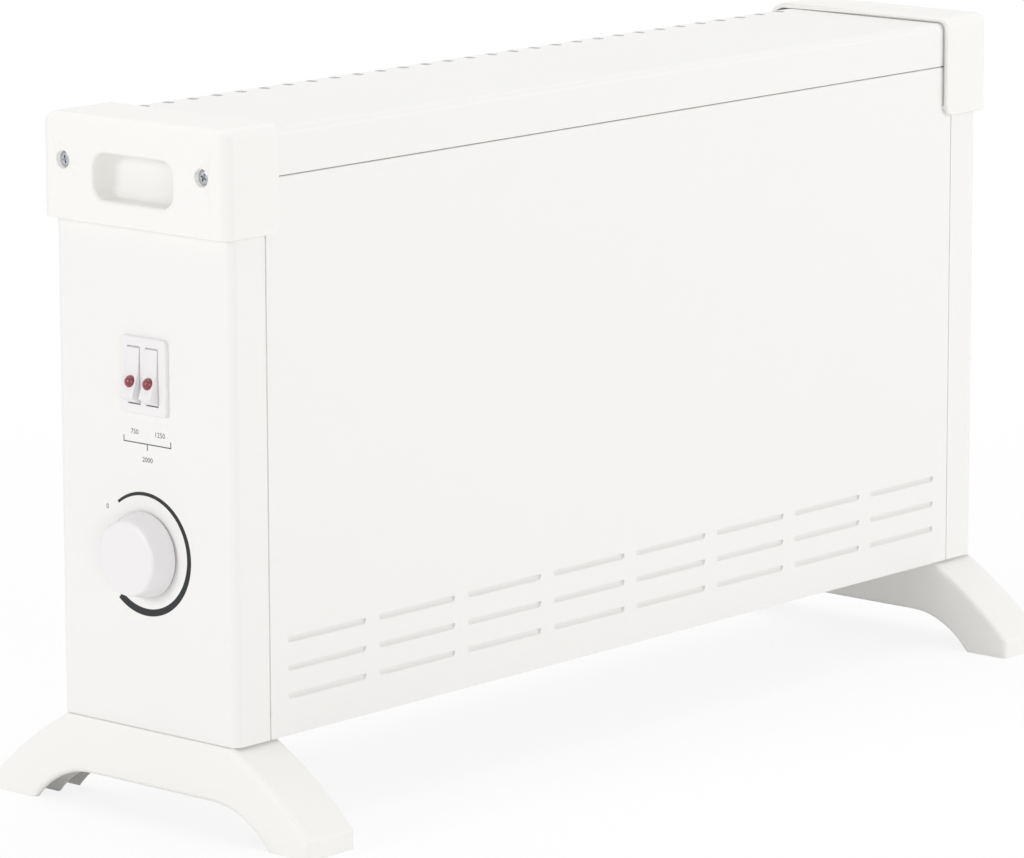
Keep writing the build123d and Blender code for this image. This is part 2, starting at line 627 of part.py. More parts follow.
def element_rod(z):
    rod = rod_x(-partition_x - 12, partition_x + 12, 0, z, rod_radius)
    return rod + rod_x(-partition_x - 24, partition_x + 24, 0, z, pin_radius)


def element_bushes():
    bushes = []
    for z in element_heights:
        bush = rod_x(partition_x - 5, partition_x, 0, z, bush_flange)
        bush += rod_x(partition_x, partition_x + 6, 0, z, bush_radius)
        bush -= rod_x(partition_x - 6, partition_x + 7, 0, z, rod_radius + running)
        bushes += [bush, mirror(bush, about=Plane.YZ)]
    return Compound(bushes)


def overheat_cutout():
    face = -partition_x - sheet
    ear = 0.8
    body = rod_x(face - 10, face - ear, cutout_y, cutout_z, cutout_radius)
    body += rod_x(face - ear, -partition_x + 3, cutout_y, cutout_z, cutout_nose)
    reach = cutout_screw_y + 3.6
    body += block(face - ear, face, cutout_y - reach, cutout_y + reach, cutout_z - 4, cutout_z + 4)
    for y in (-cutout_screw_y, cutout_screw_y):
        body -= rod_x(face - 2, face + 1, cutout_y + y, cutout_z, cutout_screw_radius + running)
    for z in (cutout_z - 4, cutout_z + 4):
        body += block(face - 18, face - 9, cutout_y - tab_width / 2, cutout_y + tab_width / 2,
                      z - tab_sheet / 2, z + tab_sheet / 2)
    return body


def cutout_screws():
    seat = -partition_x - sheet - 0.8
    screws = []
    for y in (cutout_y - cutout_screw_y, cutout_y + cutout_screw_y):
        screws.append(rod_x(seat - 2, seat, y, cutout_z, 2.7)
                      + rod_x(seat, -partition_x + 3, y, cutout_z, cutout_screw_radius))
    return Compound(screws)


# Mains connection

def cord_inlet_bush():
    neck = inlet_hole - 0.1
    bush = rod_y(inlet_x, half_depth, half_depth + bush_face, inlet_z, bush_face_radius)
    bush = fillet(bush.edges().group_by(Axis.Y)[-1], 1.2)
    bush += rod_y(inlet_x, half_depth - bush_reach, half_depth, inlet_z, neck)
    bush += Pos(inlet_x, inner_depth - 1.5, inlet_z) * Rot(90, 0, 0) * Cone(neck + 0.9, neck, 3.0)
    return bush - rod_y(inlet_x, half_depth - bush_reach - 1, half_depth + bush_face + 1,
                        inlet_z, inlet_bore)


def terminal_places():
    return [terminal_x + terminal_pitch * (i + 0.5) for i in range(terminal_count)]


def terminal_gaps():
    return [terminal_x + terminal_pitch * i for i in range(1, terminal_count)]


def terminal_block():
    high, axis = base_top + terminal_height, base_top + terminal_axis
    body = block(terminal_x, terminal_x + terminal_count * terminal_pitch,
                 terminal_front, terminal_back, base_top, high)
    for x in terminal_places():
        body -= rod_y(x, terminal_front - 1, terminal_back + 1, axis, 2.6)
        for y in clamp_screw_places:
            body -= rod_z(x, y, axis, high + 1, 2.1)
    for x in terminal_gaps():
        body -= rod_z(x, (terminal_front + terminal_back) / 2, base_top - 1, high + 1, 1.7)
    return body


def terminal_clamps():
    axis = base_top + terminal_axis
    clamps = []
    for x in terminal_places():
        tube = rod_y(x, terminal_front + 0.5, terminal_back - 0.5, axis, 2.5)
        tube -= rod_y(x, terminal_front, terminal_back, axis, 1.5)
        for y in clamp_screw_places:
            tube += rod_z(x, y, axis + 1, axis + 6, 1.6)
        clamps.append(tube)
    return Compound(clamps)


def terminal_block_screws():
    y, high = (terminal_front + terminal_back) / 2, base_top + terminal_height
    return Compound([rod_z(x, y, high, high + 2, 2.6) + rod_z(x, y, base_top, high, 1.6)
                     for x in terminal_gaps()])


def nodes():
    side = rocker_pitch / 2
    lower, upper = element_heights
    return {
        "front_panel": front_panel(),
        "top_cover": top_cover(),
        "rear_panel": rear_panel(),
        "base_panel": base_panel(),
        "control_side_panel": control_side_panel(),
        "plain_side_panel": side_panel(),
        "control_end_cap": mirror(end_cap(), about=Plane.YZ),
        "plain_end_cap": end_cap(),
        "end_cap_screws": end_cap_screws(),
        "control_end_foot": mirror(foot(), about=Plane.YZ),
        "plain_end_foot": foot(),
        "foot_screws": foot_screws(),
        "rear_panel_screws": rear_panel_screws(),
        "switch_housing": switch_housing(),
        "switch_terminals": switch_terminals(),
        "rocker_pin": rocker_pin(),
        "rear_rocker": rocker(side),
        "front_rocker": rocker(-side),
        "rear_neon_lens": neon_lens(side),
        "front_neon_lens": neon_lens(-side),
        "thermostat_knob": thermostat_knob(),
        "thermostat_shaft": thermostat_shaft(),
        "thermostat_frame": thermostat_frame(),
        "thermostat_nut": thermostat_nut(),
        "thermostat_block": thermostat_block(),
        "thermostat_bimetal": thermostat_bimetal(),
        "thermostat_contacts": thermostat_contacts(),
        "control_partition": control_partition(),
        "plain_partition": partition(),
        "outlet_deflector": outlet_deflector(),
        "lower_element_fins": element_fins(lower),
        "upper_element_fins": element_fins(upper),
        "lower_element_rod": element_rod(lower),
        "upper_element_rod": element_rod(upper),
        "element_bushes": element_bushes(),
        "overheat_cutout": overheat_cutout(),
        "cutout_screws": cutout_screws(),
        "cord_inlet_bush": cord_inlet_bush(),
        "terminal_block": terminal_block(),
        "terminal_clamps": terminal_clamps(),
        "terminal_block_screws": terminal_block_screws(),
    }


def main():
    os.makedirs("parts", exist_ok=True)
    shift = (side_face + knob_height - cap_end) / 2
    for name, solid in nodes().items():
        export_step(Pos(shift, 0, 0) * solid, f"parts/{name}.step")
        print(name, round(solid.volume))


main()
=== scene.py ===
import json
import math

import bmesh
import bpy
from mathutils import Matrix, Vector


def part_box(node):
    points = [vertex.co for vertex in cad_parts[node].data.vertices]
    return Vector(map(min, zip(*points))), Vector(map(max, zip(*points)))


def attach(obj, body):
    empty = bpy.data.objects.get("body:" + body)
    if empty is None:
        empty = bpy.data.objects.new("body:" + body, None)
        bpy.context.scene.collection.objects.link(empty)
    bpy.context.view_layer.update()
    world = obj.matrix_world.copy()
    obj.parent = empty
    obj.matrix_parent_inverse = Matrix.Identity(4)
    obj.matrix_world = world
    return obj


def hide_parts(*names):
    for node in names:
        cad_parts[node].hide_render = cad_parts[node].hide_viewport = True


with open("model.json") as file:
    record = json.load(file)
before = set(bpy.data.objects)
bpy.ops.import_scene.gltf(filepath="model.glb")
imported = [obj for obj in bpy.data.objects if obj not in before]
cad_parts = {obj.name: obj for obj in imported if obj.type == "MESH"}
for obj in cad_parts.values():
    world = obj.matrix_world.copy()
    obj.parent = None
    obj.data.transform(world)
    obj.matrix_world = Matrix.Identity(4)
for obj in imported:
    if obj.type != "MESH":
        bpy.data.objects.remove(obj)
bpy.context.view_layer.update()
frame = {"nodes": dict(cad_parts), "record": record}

# Convector heater: powder-coated steel casing, moulded end caps and feet, twin rocker
# switch and thermostat knob. Sizes are in millimetres and angles in degrees, unless a note
# says otherwise.

mm = 0.001
print("frame loaded:", len(frame["nodes"]), "nodes")


# Colours and nodes

def linearColour(hexText):
    channels = [int(hexText[i:i + 2], 16) / 255 for i in (1, 3, 5)]
    return tuple(c / 12.92 if c <= 0.04045 else ((c + 0.055) / 1.055) ** 2.4 for c in channels) + (1.0,)


def addNode(tree, kind, settings=None, **values):
    # Adds one node; a value may be a number, a colour, a node (its first output) or a node's output
    node = tree.nodes.new(kind)
    for name, value in (settings or {}).items():
        setattr(node, name, value)
    for name, value in values.items():
        socket = node.inputs[int(name[1:])] if name[0] == "i" and name[1:].isdigit() else node.inputs[name]
        if isinstance(value, bpy.types.Node):
            value = value.outputs[0]
        if isinstance(value, bpy.types.NodeSocket):
            tree.links.new(value, socket)
        else:
            socket.default_value = value
    return node


def newMaterial(name):
    material = bpy.data.materials.new(name)
    material.use_nodes = True
    material.node_tree.nodes.clear()
    return material, material.node_tree


def driftingTone(tree, look, place, perMetre, detail):
    # A noise, and the look's two colours mixed by it
    noise = addNode(tree, "ShaderNodeTexNoise", Vector=place, Scale=perMetre, Detail=detail)
    mix = addNode(tree, "ShaderNodeMix", {"data_type": "RGBA"}, i0=noise,
                  i6=linearColour(look["shade"]), i7=linearColour(look["colour"]))
    return noise, mix.outputs[2]


def coatedSurface(name, look):
    # Paint or plastic: fine surface grain, slight tone drift and uneven gloss
    material, tree = newMaterial(name)
    place = addNode(tree, "ShaderNodeTexCoord").outputs["Object"]
    colour = driftingTone(tree, look, place, look["driftPerMetre"], 3.0)[1]
    grain = addNode(tree, "ShaderNodeTexNoise", Vector=place, Scale=1 / (look["grainSize"] * mm), Detail=2.0)
    gloss = addNode(tree, "ShaderNodeMapRange", Value=grain, **{
        "To Min": look["roughness"] - look["glossDrift"], "To Max": look["roughness"] + look["glossDrift"]})
    bump = addNode(tree, "ShaderNodeBump", Height=grain, Strength=look["bump"],
                   Distance=look["grainHeight"] * mm)
    shader = addNode(tree, "ShaderNodeBsdfPrincipled", Roughness=gloss, IOR=look["ior"], Normal=bump, **{
        "Base Color": colour, "Specular IOR Level": look["specular"]})
    addNode(tree, "ShaderNodeOutputMaterial", Surface=shader)
    return material


# Polyester powder coat on sheet steel: satin, with a faint orange peel
powderCoatLook = {"colour": "#f1f0ee", "shade": "#efeeec", "driftPerMetre": 3.0, "grainSize": 1.6,
                  "grainHeight": 0.02, "bump": 0.35, "roughness": 0.42, "glossDrift": 0.05,
                  "ior": 1.5, "specular": 0.4}
# ABS from a spark-eroded mould: a matt grain that softens every reflection
grainedAbsLook = {"colour": "#f3f2f0", "shade": "#f1f0ed", "driftPerMetre": 4.0, "grainSize": 0.8,
                  "grainHeight": 0.03, "bump": 0.5, "roughness": 0.55, "glossDrift": 0.06,
                  "ior": 1.52, "specular": 0.4}
# ABS from a polished mould: smooth, with a soft sheen
polishedAbsLook = {"colour": "#edebec", "shade": "#ebe9ea", "driftPerMetre": 12.0, "grainSize": 2.5,
                   "grainHeight": 0.008, "bump": 0.2, "roughness": 0.3, "glossDrift": 0.03,
                   "ior": 1.52, "specular": 0.45}
# Nylon 66, natural: milky and slightly waxy
nylonLook = {"colour": "#e6e5dc", "shade": "#dfded3", "driftPerMetre": 20.0, "grainSize": 1.2,
             "grainHeight": 0.01, "bump": 0.2, "roughness": 0.45, "glossDrift": 0.05,
             "ior": 1.53, "specular": 0.4}
# Glazed steatite: cream ceramic under a thin glaze
steatiteLook = {"colour": "#e4dcca", "shade": "#d8cfba", "driftPerMetre": 40.0, "grainSize": 0.9,
                "grainHeight": 0.02, "bump": 0.3, "roughness": 0.28, "glossDrift": 0.06,
                "ior": 1.56, "specular": 0.5}

powderCoat = coatedSurface("powderCoatedSteel", powderCoatLook)
grainedAbs = coatedSurface("grainedAbs", grainedAbsLook)
polishedAbs = coatedSurface("polishedAbs", polishedAbsLook)
nylon = coatedSurface("naturalNylon", nylonLook)
steatite = coatedSurface("glazedSteatite", steatiteLook)


def workedMetal(name, look):
    # Bare or plated metal: streaks along the rolling or drawing direction
    material, tree = newMaterial(name)
    place = addNode(tree, "ShaderNodeTexCoord").outputs["Object"]
    stretch = addNode(tree, "ShaderNodeMapping", Vector=place, Scale=look["streakPerMetre"])
    streak, colour = driftingTone(tree, look, stretch, 1.0, 4.0)
    gloss = addNode(tree, "ShaderNodeMapRange", Value=streak, **{
        "To Min": look["roughness"] - look["glossDrift"], "To Max": look["roughness"] + look["glossDrift"]})
    shader = addNode(tree, "ShaderNodeBsdfPrincipled", Roughness=gloss, Metallic=1.0,
                     **{"Base Color": colour})
    addNode(tree, "ShaderNodeOutputMaterial", Surface=shader)
    return material


# Bright zinc plate, clear passivated: bluish grey and slightly cloudy
zincPlate = workedMetal("brightZincPlate", {
    "colour": "#c9ccd0", "shade": "#a9adb2", "streakPerMetre": (300, 300, 300),
    "roughness": 0.32, "glossDrift": 0.08})
# Galvanised strip: matt grey, rolled along the heater
galvanisedStrip = workedMetal("galvanisedStrip", {
    "colour": "#b9bcbe", "shade": "#9ea2a5", "streakPerMetre": (12, 160, 160),
    "roughness": 0.45, "glossDrift": 0.08})
# Extruded aluminium: fine die lines along the fins
extrudedAluminium = workedMetal("extrudedAluminium", {
    "colour": "#d3d5d7", "shade": "#babdc0", "streakPerMetre": (4, 900, 900),
    "roughness": 0.38, "glossDrift": 0.08})
# Cartridge brass, as stamped
cartridgeBrass = workedMetal("cartridgeBrass", {
    "colour": "#d9b565", "shade": "#bf9749", "streakPerMetre": (200, 200, 200),
    "roughness": 0.3, "glossDrift": 0.06})


def cloudedSurface(name, look):
    # A plain surface whose colour wanders a little; the look also names the shader's own numbers
    material, tree = newMaterial(name)
    place = addNode(tree, "ShaderNodeTexCoord").outputs["Object"]
    colour = driftingTone(tree, look, place, look["cloudPerMetre"], 2.0)[1]
    shader = addNode(tree, "ShaderNodeBsdfPrincipled", **{"Base Color": colour}, **look["shader"])
    addNode(tree, "ShaderNodeOutputMaterial", Surface=shader)
    return material


# Clear red polycarbonate over a lamp that is off: dark maroon, wet highlight
rubyLens = cloudedSurface("rubyPolycarbonate", {
    "colour": "#93202f", "shade": "#6e1220", "cloudPerMetre": 700.0,
    "shader": {"Roughness": 0.12, "IOR": 1.58, "Coat Weight": 0.6, "Coat Roughness": 0.05}})
# Pad-printed inks: matt and thin, a little uneven in density
padInk = {"cloudPerMetre": 900.0, "shader": {"Roughness": 0.6}}
greyInk = cloudedSurface("greyPadInk", {"colour": "#626568", "shade": "#54575a", **padInk})
blackInk = cloudedSurface("blackPadInk", {"colour": "#232427", "shade": "#1a1b1d", **padInk})
print("materials made")


# Meshes

hair = 1e-6  # how far a point may lie from a plane and still count as on it, in metres
weld, sliver = 0.002 * mm, 0.001 * mm  # points and edges this small are merged away
flatAngle = 0.1  # faces that meet at less are one face
tightBend = 0.1 * mm  # the least inner radius of a fold
sharpSheet, sharpMoulding = 30.0, 32.0  # faces of pressings and mouldings that meet at more stay sharp


def addObject(name, data, material=None):
    obj = bpy.data.objects.new(name, data)
    bpy.context.scene.collection.objects.link(obj)
    if material:
        data.materials.clear()
        data.materials.append(material)
    return obj


def freeze(obj, material):
    # The evaluated result as a plain mesh, with the modifiers gone
    name = obj.name
    graph = bpy.context.evaluated_depsgraph_get()
    mesh = bpy.data.meshes.new_from_object(obj.evaluated_get(graph))
    bpy.data.objects.remove(obj)
    mesh.name = name
    return addObject(name, mesh, material)


def shadeByArea(obj, material, degrees):
    # Smooth bends beside flat faces: sharp edges by angle, then normals weighted by area
    obj.data.shade_smooth()
    obj.data.set_sharp_from_angle(angle=math.radians(degrees))
    obj.modifiers.new("areaWeighted", "WEIGHTED_NORMAL").keep_sharp = True
    return freeze(obj, material)


def dress(obj, body, slotName, *nodes):
    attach(obj, body)
    if nodes:
        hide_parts(*nodes)
    return obj


def mergedCopy(node, name, reshape=None):
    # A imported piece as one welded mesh, with each point passed through reshape if one is given
    mesh = frame["nodes"][node].data.copy()
    mesh.name = name
    build = bmesh.new()
    build.from_mesh(mesh)
    bmesh.ops.remove_doubles(build, verts=build.verts, dist=weld)
    bmesh.ops.dissolve_degenerate(build, edges=build.edges, dist=sliver)
    if reshape:
        for vert in build.verts:
            vert.co = reshape(vert.co)
    else:
        bmesh.ops.dissolve_limit(build, angle_limit=math.radians(flatAngle), verts=build.verts,
                                 edges=build.edges)
    build.to_mesh(mesh)
    build.free()
    return addObject(name, mesh)


def dressedCopy(node, name, material, body, slotName, reshape=None):
    # A smooth-shaded copy of a rigid piece that already has about its real shape
    obj = shadeByArea(mergedCopy(node, name, reshape), material, sharpMoulding)
    return dress(obj, body, slotName, node)


def combine(obj, operation, *tools):
    # Booleans with closed shapes that are used up
    for tool in tools:
        step = obj.modifiers.new(operation.lower(), "BOOLEAN")
        step.operation, step.object, step.solver = operation, tool, "MANIFOLD"
        obj = freeze(obj, None)
        bpy.data.objects.remove(tool)
    return obj


def roundedPath(points, radii, steps=10):
    # A polyline with its inner corners rounded
    path = [Vector(points[0])]
    for before, corner, after, radius in zip(points, points[1:], points[2:], radii):
        before, corner, after = Vector(before), Vector(corner), Vector(after)
        into, out = (corner - before).normalized(), (after - corner).normalized()
        turn = into.angle(out)
        start = corner - into * radius * math.tan(turn / 2)
        side = 1 if into.x * out.y - into.y * out.x > 0 else -1
        centre = start + Vector((-into.y, into.x)) * radius * side
        for i in range(steps + 1):
            spin = Matrix.Rotation(side * turn * i / steps, 2)
            path.append(centre + spin @ (start - centre))
    return path + [Vector(points[-1])]


def foldedStrip(points, radii, thickness):
    # The closed section of a bent sheet, from its outer line and its outer bend radii
    inner = []
    for i, point in enumerate(points):
        point = Vector(point)
        runs = []
        if i > 0:
            runs.append((point - Vector(points[i - 1])).normalized())
        if i < len(points) - 1:
            runs.append((Vector(points[i + 1]) - point).normalized())
        normals = [Vector((run.y, -run.x)) for run in runs]
        middle = sum(normals, Vector((0, 0))).normalized()
        inner.append(point + middle * thickness / middle.dot(normals[0]))
    innerRadii = [max(radius - abs(thickness), tightBend) for radius in radii]
    return roundedPath(points, radii) + roundedPath(inner, innerRadii)[::-1]


def prism(name, low, high, *sections, axis="x"):
    # Each section holds (y, z) points, or (x, z) points for a prism along Y, and makes one solid
    def place(along, p):
        return (along, p[0], p[1]) if axis == "x" else (p[0], along, p[1])
    build = bmesh.new()
    for section in sections:
        rings = [[build.verts.new(place(along, p)) for p in section] for along in (low, high)]
        for i in range(len(section)):
            j = (i + 1) % len(section)
            build.faces.new((rings[0][i], rings[0][j], rings[1][j], rings[1][i]))
        build.faces.new(rings[0][::-1])
        build.faces.new(rings[1])
    bmesh.ops.recalc_face_normals(build, faces=build.faces)
    mesh = bpy.data.meshes.new(name)
    build.to_mesh(mesh)
    build.free()
    return addObject(name, mesh)


def block(name, low, high):
    section = [(low[1], low[2]), (high[1], low[2]), (high[1], high[2]), (low[1], high[2])]
    return prism(name, low[0], high[0], section)


def closedOutline(corners, radii):
    # A closed outline with its corners rounded; it starts in the middle of its first side
    start = (Vector(corners[-1]) + Vector(corners[0])) / 2
    return roundedPath([start, *corners, start], radii)[:-1]


def easeRim(obj, radius, onRim, segments=4):
    # Rounds the edges whose two ends both pass the test
    build = bmesh.new()
    build.from_mesh(obj.data)
    rim = [edge for edge in build.edges if all(onRim(vert.co) for vert in edge.verts)]
    bmesh.ops.bevel(build, geom=rim, offset=radius, offset_type="OFFSET", segments=segments, profile=0.5,
                    affect="EDGES", clamp_overlap=True)
    build.to_mesh(obj.data)
    build.free()


# Geometry nodes

def newTree(name, inputs):
    tree = bpy.data.node_groups.new(name, "GeometryNodeTree")
    tree.interface.new_socket("Geometry", in_out="INPUT", socket_type="NodeSocketGeometry")
    for label, kind in inputs.items():
        tree.interface.new_socket(label, in_out="INPUT", socket_type="NodeSocket" + kind)
    tree.interface.new_socket("Geometry", in_out="OUTPUT", socket_type="NodeSocketGeometry")
    return tree, addNode(tree, "NodeGroupInput").outputs


def finishTree(tree, geometry, material):
    whole = addNode(tree, "GeometryNodeRealizeInstances", Geometry=geometry)
    painted = addNode(tree, "GeometryNodeSetMaterial", Geometry=whole, Material=material)
    addNode(tree, "NodeGroupOutput", Geometry=painted)
    return tree


def runTree(obj, tree, material, values):
    # Sets each input by its socket's identifier, then takes the result as a plain mesh
    modifier = obj.modifiers.new(tree.name, "NODES")
    modifier.node_group = tree
    given = dict(values, Material=material)
    for item in tree.interface.items_tree:
        if item.in_out == "INPUT" and item.name in given:
            modifier[item.identifier] = given[item.name]
    return freeze(obj, material)


def spreadOut(tree, shape, count, pitch, axis):
    # Copies of a shape along one axis, centred on the origin
    gaps = addNode(tree, "ShaderNodeMath", {"operation": "SUBTRACT"}, i0=count, i1=1.0)
    span = addNode(tree, "ShaderNodeMath", {"operation": "MULTIPLY"}, i0=gaps, i1=pitch)
    start = addNode(tree, "ShaderNodeMath", {"operation": "MULTIPLY"}, i0=span, i1=-0.5)
    first = addNode(tree, "ShaderNodeCombineXYZ", **{axis: start})
    step = addNode(tree, "ShaderNodeCombineXYZ", **{axis: pitch})
    row = addNode(tree, "GeometryNodeMeshLine", {"mode": "OFFSET", "count_mode": "TOTAL"},
                  Count=count, Offset=step, **{"Start Location": first})
    return addNode(tree, "GeometryNodeInstanceOnPoints", Points=row, Instance=shape)


def gridOfTools(tree, given, shape, rowAxis):
    across = spreadOut(tree, shape, given["Columns"], given["Column Pitch"], "X")
    grid = spreadOut(tree, across, given["Rows"], given["Row Pitch"], rowAxis)
    placed = addNode(tree, "GeometryNodeTransform", Geometry=grid,
                     Translation=given["Centre"], Rotation=given["Turn"])
    return addNode(tree, "GeometryNodeRealizeInstances", Geometry=placed)


gridInputs = {"Columns": "Int", "Rows": "Int", "Column Pitch": "Float", "Row Pitch": "Float",
              "Centre": "Vector", "Turn": "Vector", "Material": "Material"}


def makePunchTree():
    # Punches a grid of round-ended slots through a sheet
    tree, given = newTree("slotPunch", {
        "Slot Length": "Float", "Slot Width": "Float", "Punch Depth": "Float", **gridInputs})
    endShare, cornerPoints = 0.499, 6  # a whole half of the width would leave edges of no length
    outline = addNode(tree, "GeometryNodeCurvePrimitiveQuadrilateral", {"mode": "RECTANGLE"},
                      i0=given["Slot Length"], i1=given["Slot Width"])
    radius = addNode(tree, "ShaderNodeMath", {"operation": "MULTIPLY"}, i0=given["Slot Width"], i1=endShare)
    pill = addNode(tree, "GeometryNodeFilletCurve", {"mode": "POLY"}, Curve=outline,
                   Radius=radius, Count=cornerPoints, **{"Limit Radius": True})
    face = addNode(tree, "GeometryNodeFillCurve", {"mode": "NGONS"}, Curve=pill)
    rise = addNode(tree, "ShaderNodeCombineXYZ", Z=given["Punch Depth"])
    drop = addNode(tree, "ShaderNodeVectorMath", {"operation": "SCALE"}, i0=rise, Scale=-0.5)
    low = addNode(tree, "GeometryNodeSetPosition", Geometry=face, Offset=drop)
    raised = addNode(tree, "GeometryNodeExtrudeMesh", {"mode": "FACES"}, Mesh=low, Offset=rise,
                     Individual=False)
    both = addNode(tree, "GeometryNodeJoinGeometry")
    for shell in (raised, addNode(tree, "GeometryNodeFlipFaces", Mesh=low)):
        tree.links.new(shell.outputs["Mesh"], both.inputs[0])
    tool = addNode(tree, "GeometryNodeMergeByDistance", Geometry=both, Distance=hair)
    cut = addNode(tree, "GeometryNodeMeshBoolean", {"operation": "DIFFERENCE", "solver": "MANIFOLD"},
                  **{"Mesh 1": given["Geometry"], "Mesh 2": gridOfTools(tree, given, tool, "Y")})
    return finishTree(tree, cut, given["Material"])


def makeSlitTree():
    # Lances a grid of slits: the metal below each cut is pressed back into a round-ended scoop
    tree, given = newTree("lancedSlits", {
        "Slit Length": "Float", "Reach": "Float", "Arc Radius": "Float", "Sheet": "Float", **gridInputs})
    endSteps, arcRows, clear, proud = 4, 7, 0.2 * mm, -1.0 * mm

    def scoop(wall, depths):
        # Points on a grid: round the two ends one way, down the pressed arc the other way. Each
        # line of the table makes one value from earlier ones; left half is -1, right half is 1
        points = addNode(tree, "GeometryNodeMeshGrid", **{
            "Vertices X": 2 * endSteps + 2, "Vertices Y": arcRows})
        made = {"index": addNode(tree, "GeometryNodeInputIndex"), "length": given["Slit Length"],
                "reach": given["Reach"], "arc": given["Arc Radius"], "wall": wall}
        table = (
            ("halfLength", "MULTIPLY", "length", 0.5), ("straight", "SUBTRACT", "halfLength", "reach"),
            ("centre", "SUBTRACT", "reach", "arc"), ("radius", "ADD", "arc", "wall"),
            ("ratio", "DIVIDE", "centre", "radius"), ("flipped", "MULTIPLY", "ratio", -1.0),
            ("fullTurn", "ARCCOSINE", "flipped"), ("wholeRows", "DIVIDE", "index", float(arcRows)),
            ("column", "FLOOR", "wholeRows"), ("row", "MODULO", "index", float(arcRows)),
            ("share", "DIVIDE", "row", arcRows - 1.0), ("lean", "MULTIPLY", "share", "fullTurn"),
            ("leanCosine", "COSINE", "lean"), ("leanSine", "SINE", "lean"),
            ("deep", "MULTIPLY_ADD", "leanCosine", "radius", "centre"),
            ("down", "MULTIPLY", "leanSine", "radius"), ("z", "MULTIPLY", "down", -1.0),
            ("right", "GREATER_THAN", "column", endSteps + 0.5),
            ("fromMiddle", "SUBTRACT", "column", float(endSteps)),
            ("step", "SUBTRACT", "fromMiddle", "right"),
            ("swing", "MULTIPLY", "step", math.pi / 2 / endSteps),
            ("side", "MULTIPLY_ADD", "right", 2.0, -1.0), ("along", "MULTIPLY", "side", "straight"),
            ("swingSine", "SINE", "swing"), ("swingCosine", "COSINE", "swing"),
            ("x", "MULTIPLY_ADD", "swingSine", "deep", "along"), ("y", "MULTIPLY", "swingCosine", "deep"))
        for name, operation, *terms in table:
            sources = {f"i{i}": made.get(term, term) for i, term in enumerate(terms)}
            made[name] = addNode(tree, "ShaderNodeMath", {"operation": operation}, **sources)
        cloud = addNode(tree, "GeometryNodeJoinGeometry")
        for depth in depths:
            # Every point reaches at least this depth, and before the sheet's face exactly this depth
            if depth >= 0:
                depth = addNode(tree, "ShaderNodeMath", {"operation": "MAXIMUM"}, i0=made["y"], i1=depth)
            place = addNode(tree, "ShaderNodeCombineXYZ", X=made["x"], Y=depth, Z=made["z"])
            moved = addNode(tree, "GeometryNodeSetPosition", Geometry=points, Position=place)
            tree.links.new(moved.outputs["Geometry"], cloud.inputs[0])
        hull = addNode(tree, "GeometryNodeConvexHull", Geometry=cloud)
        return gridOfTools(tree, given, hull, "Z").outputs[0]

    raised = addNode(tree, "GeometryNodeMeshBoolean", {"operation": "UNION", "solver": "MANIFOLD"})
    for piece in (given["Geometry"], scoop(given["Sheet"], (clear,))):
        tree.links.new(piece, raised.inputs["Mesh 2"])
    opened = addNode(tree, "GeometryNodeMeshBoolean", {"operation": "DIFFERENCE", "solver": "MANIFOLD"},
                     **{"Mesh 1": raised, "Mesh 2": scoop(0.0, (0.0, proud))})
    return finishTree(tree, opened, given["Material"])


# The tree's inputs, and what screwSizes calls them
screwInputs = {"Head Radius": "headRadius", "Head Height": "headHeight", "Shank Radius": "shankRadius",
               "Tip Length": "tip", "Recess Span": "recessSpan", "Recess Width": "recessWidth",
               "Recess Depth": "recessDepth"}


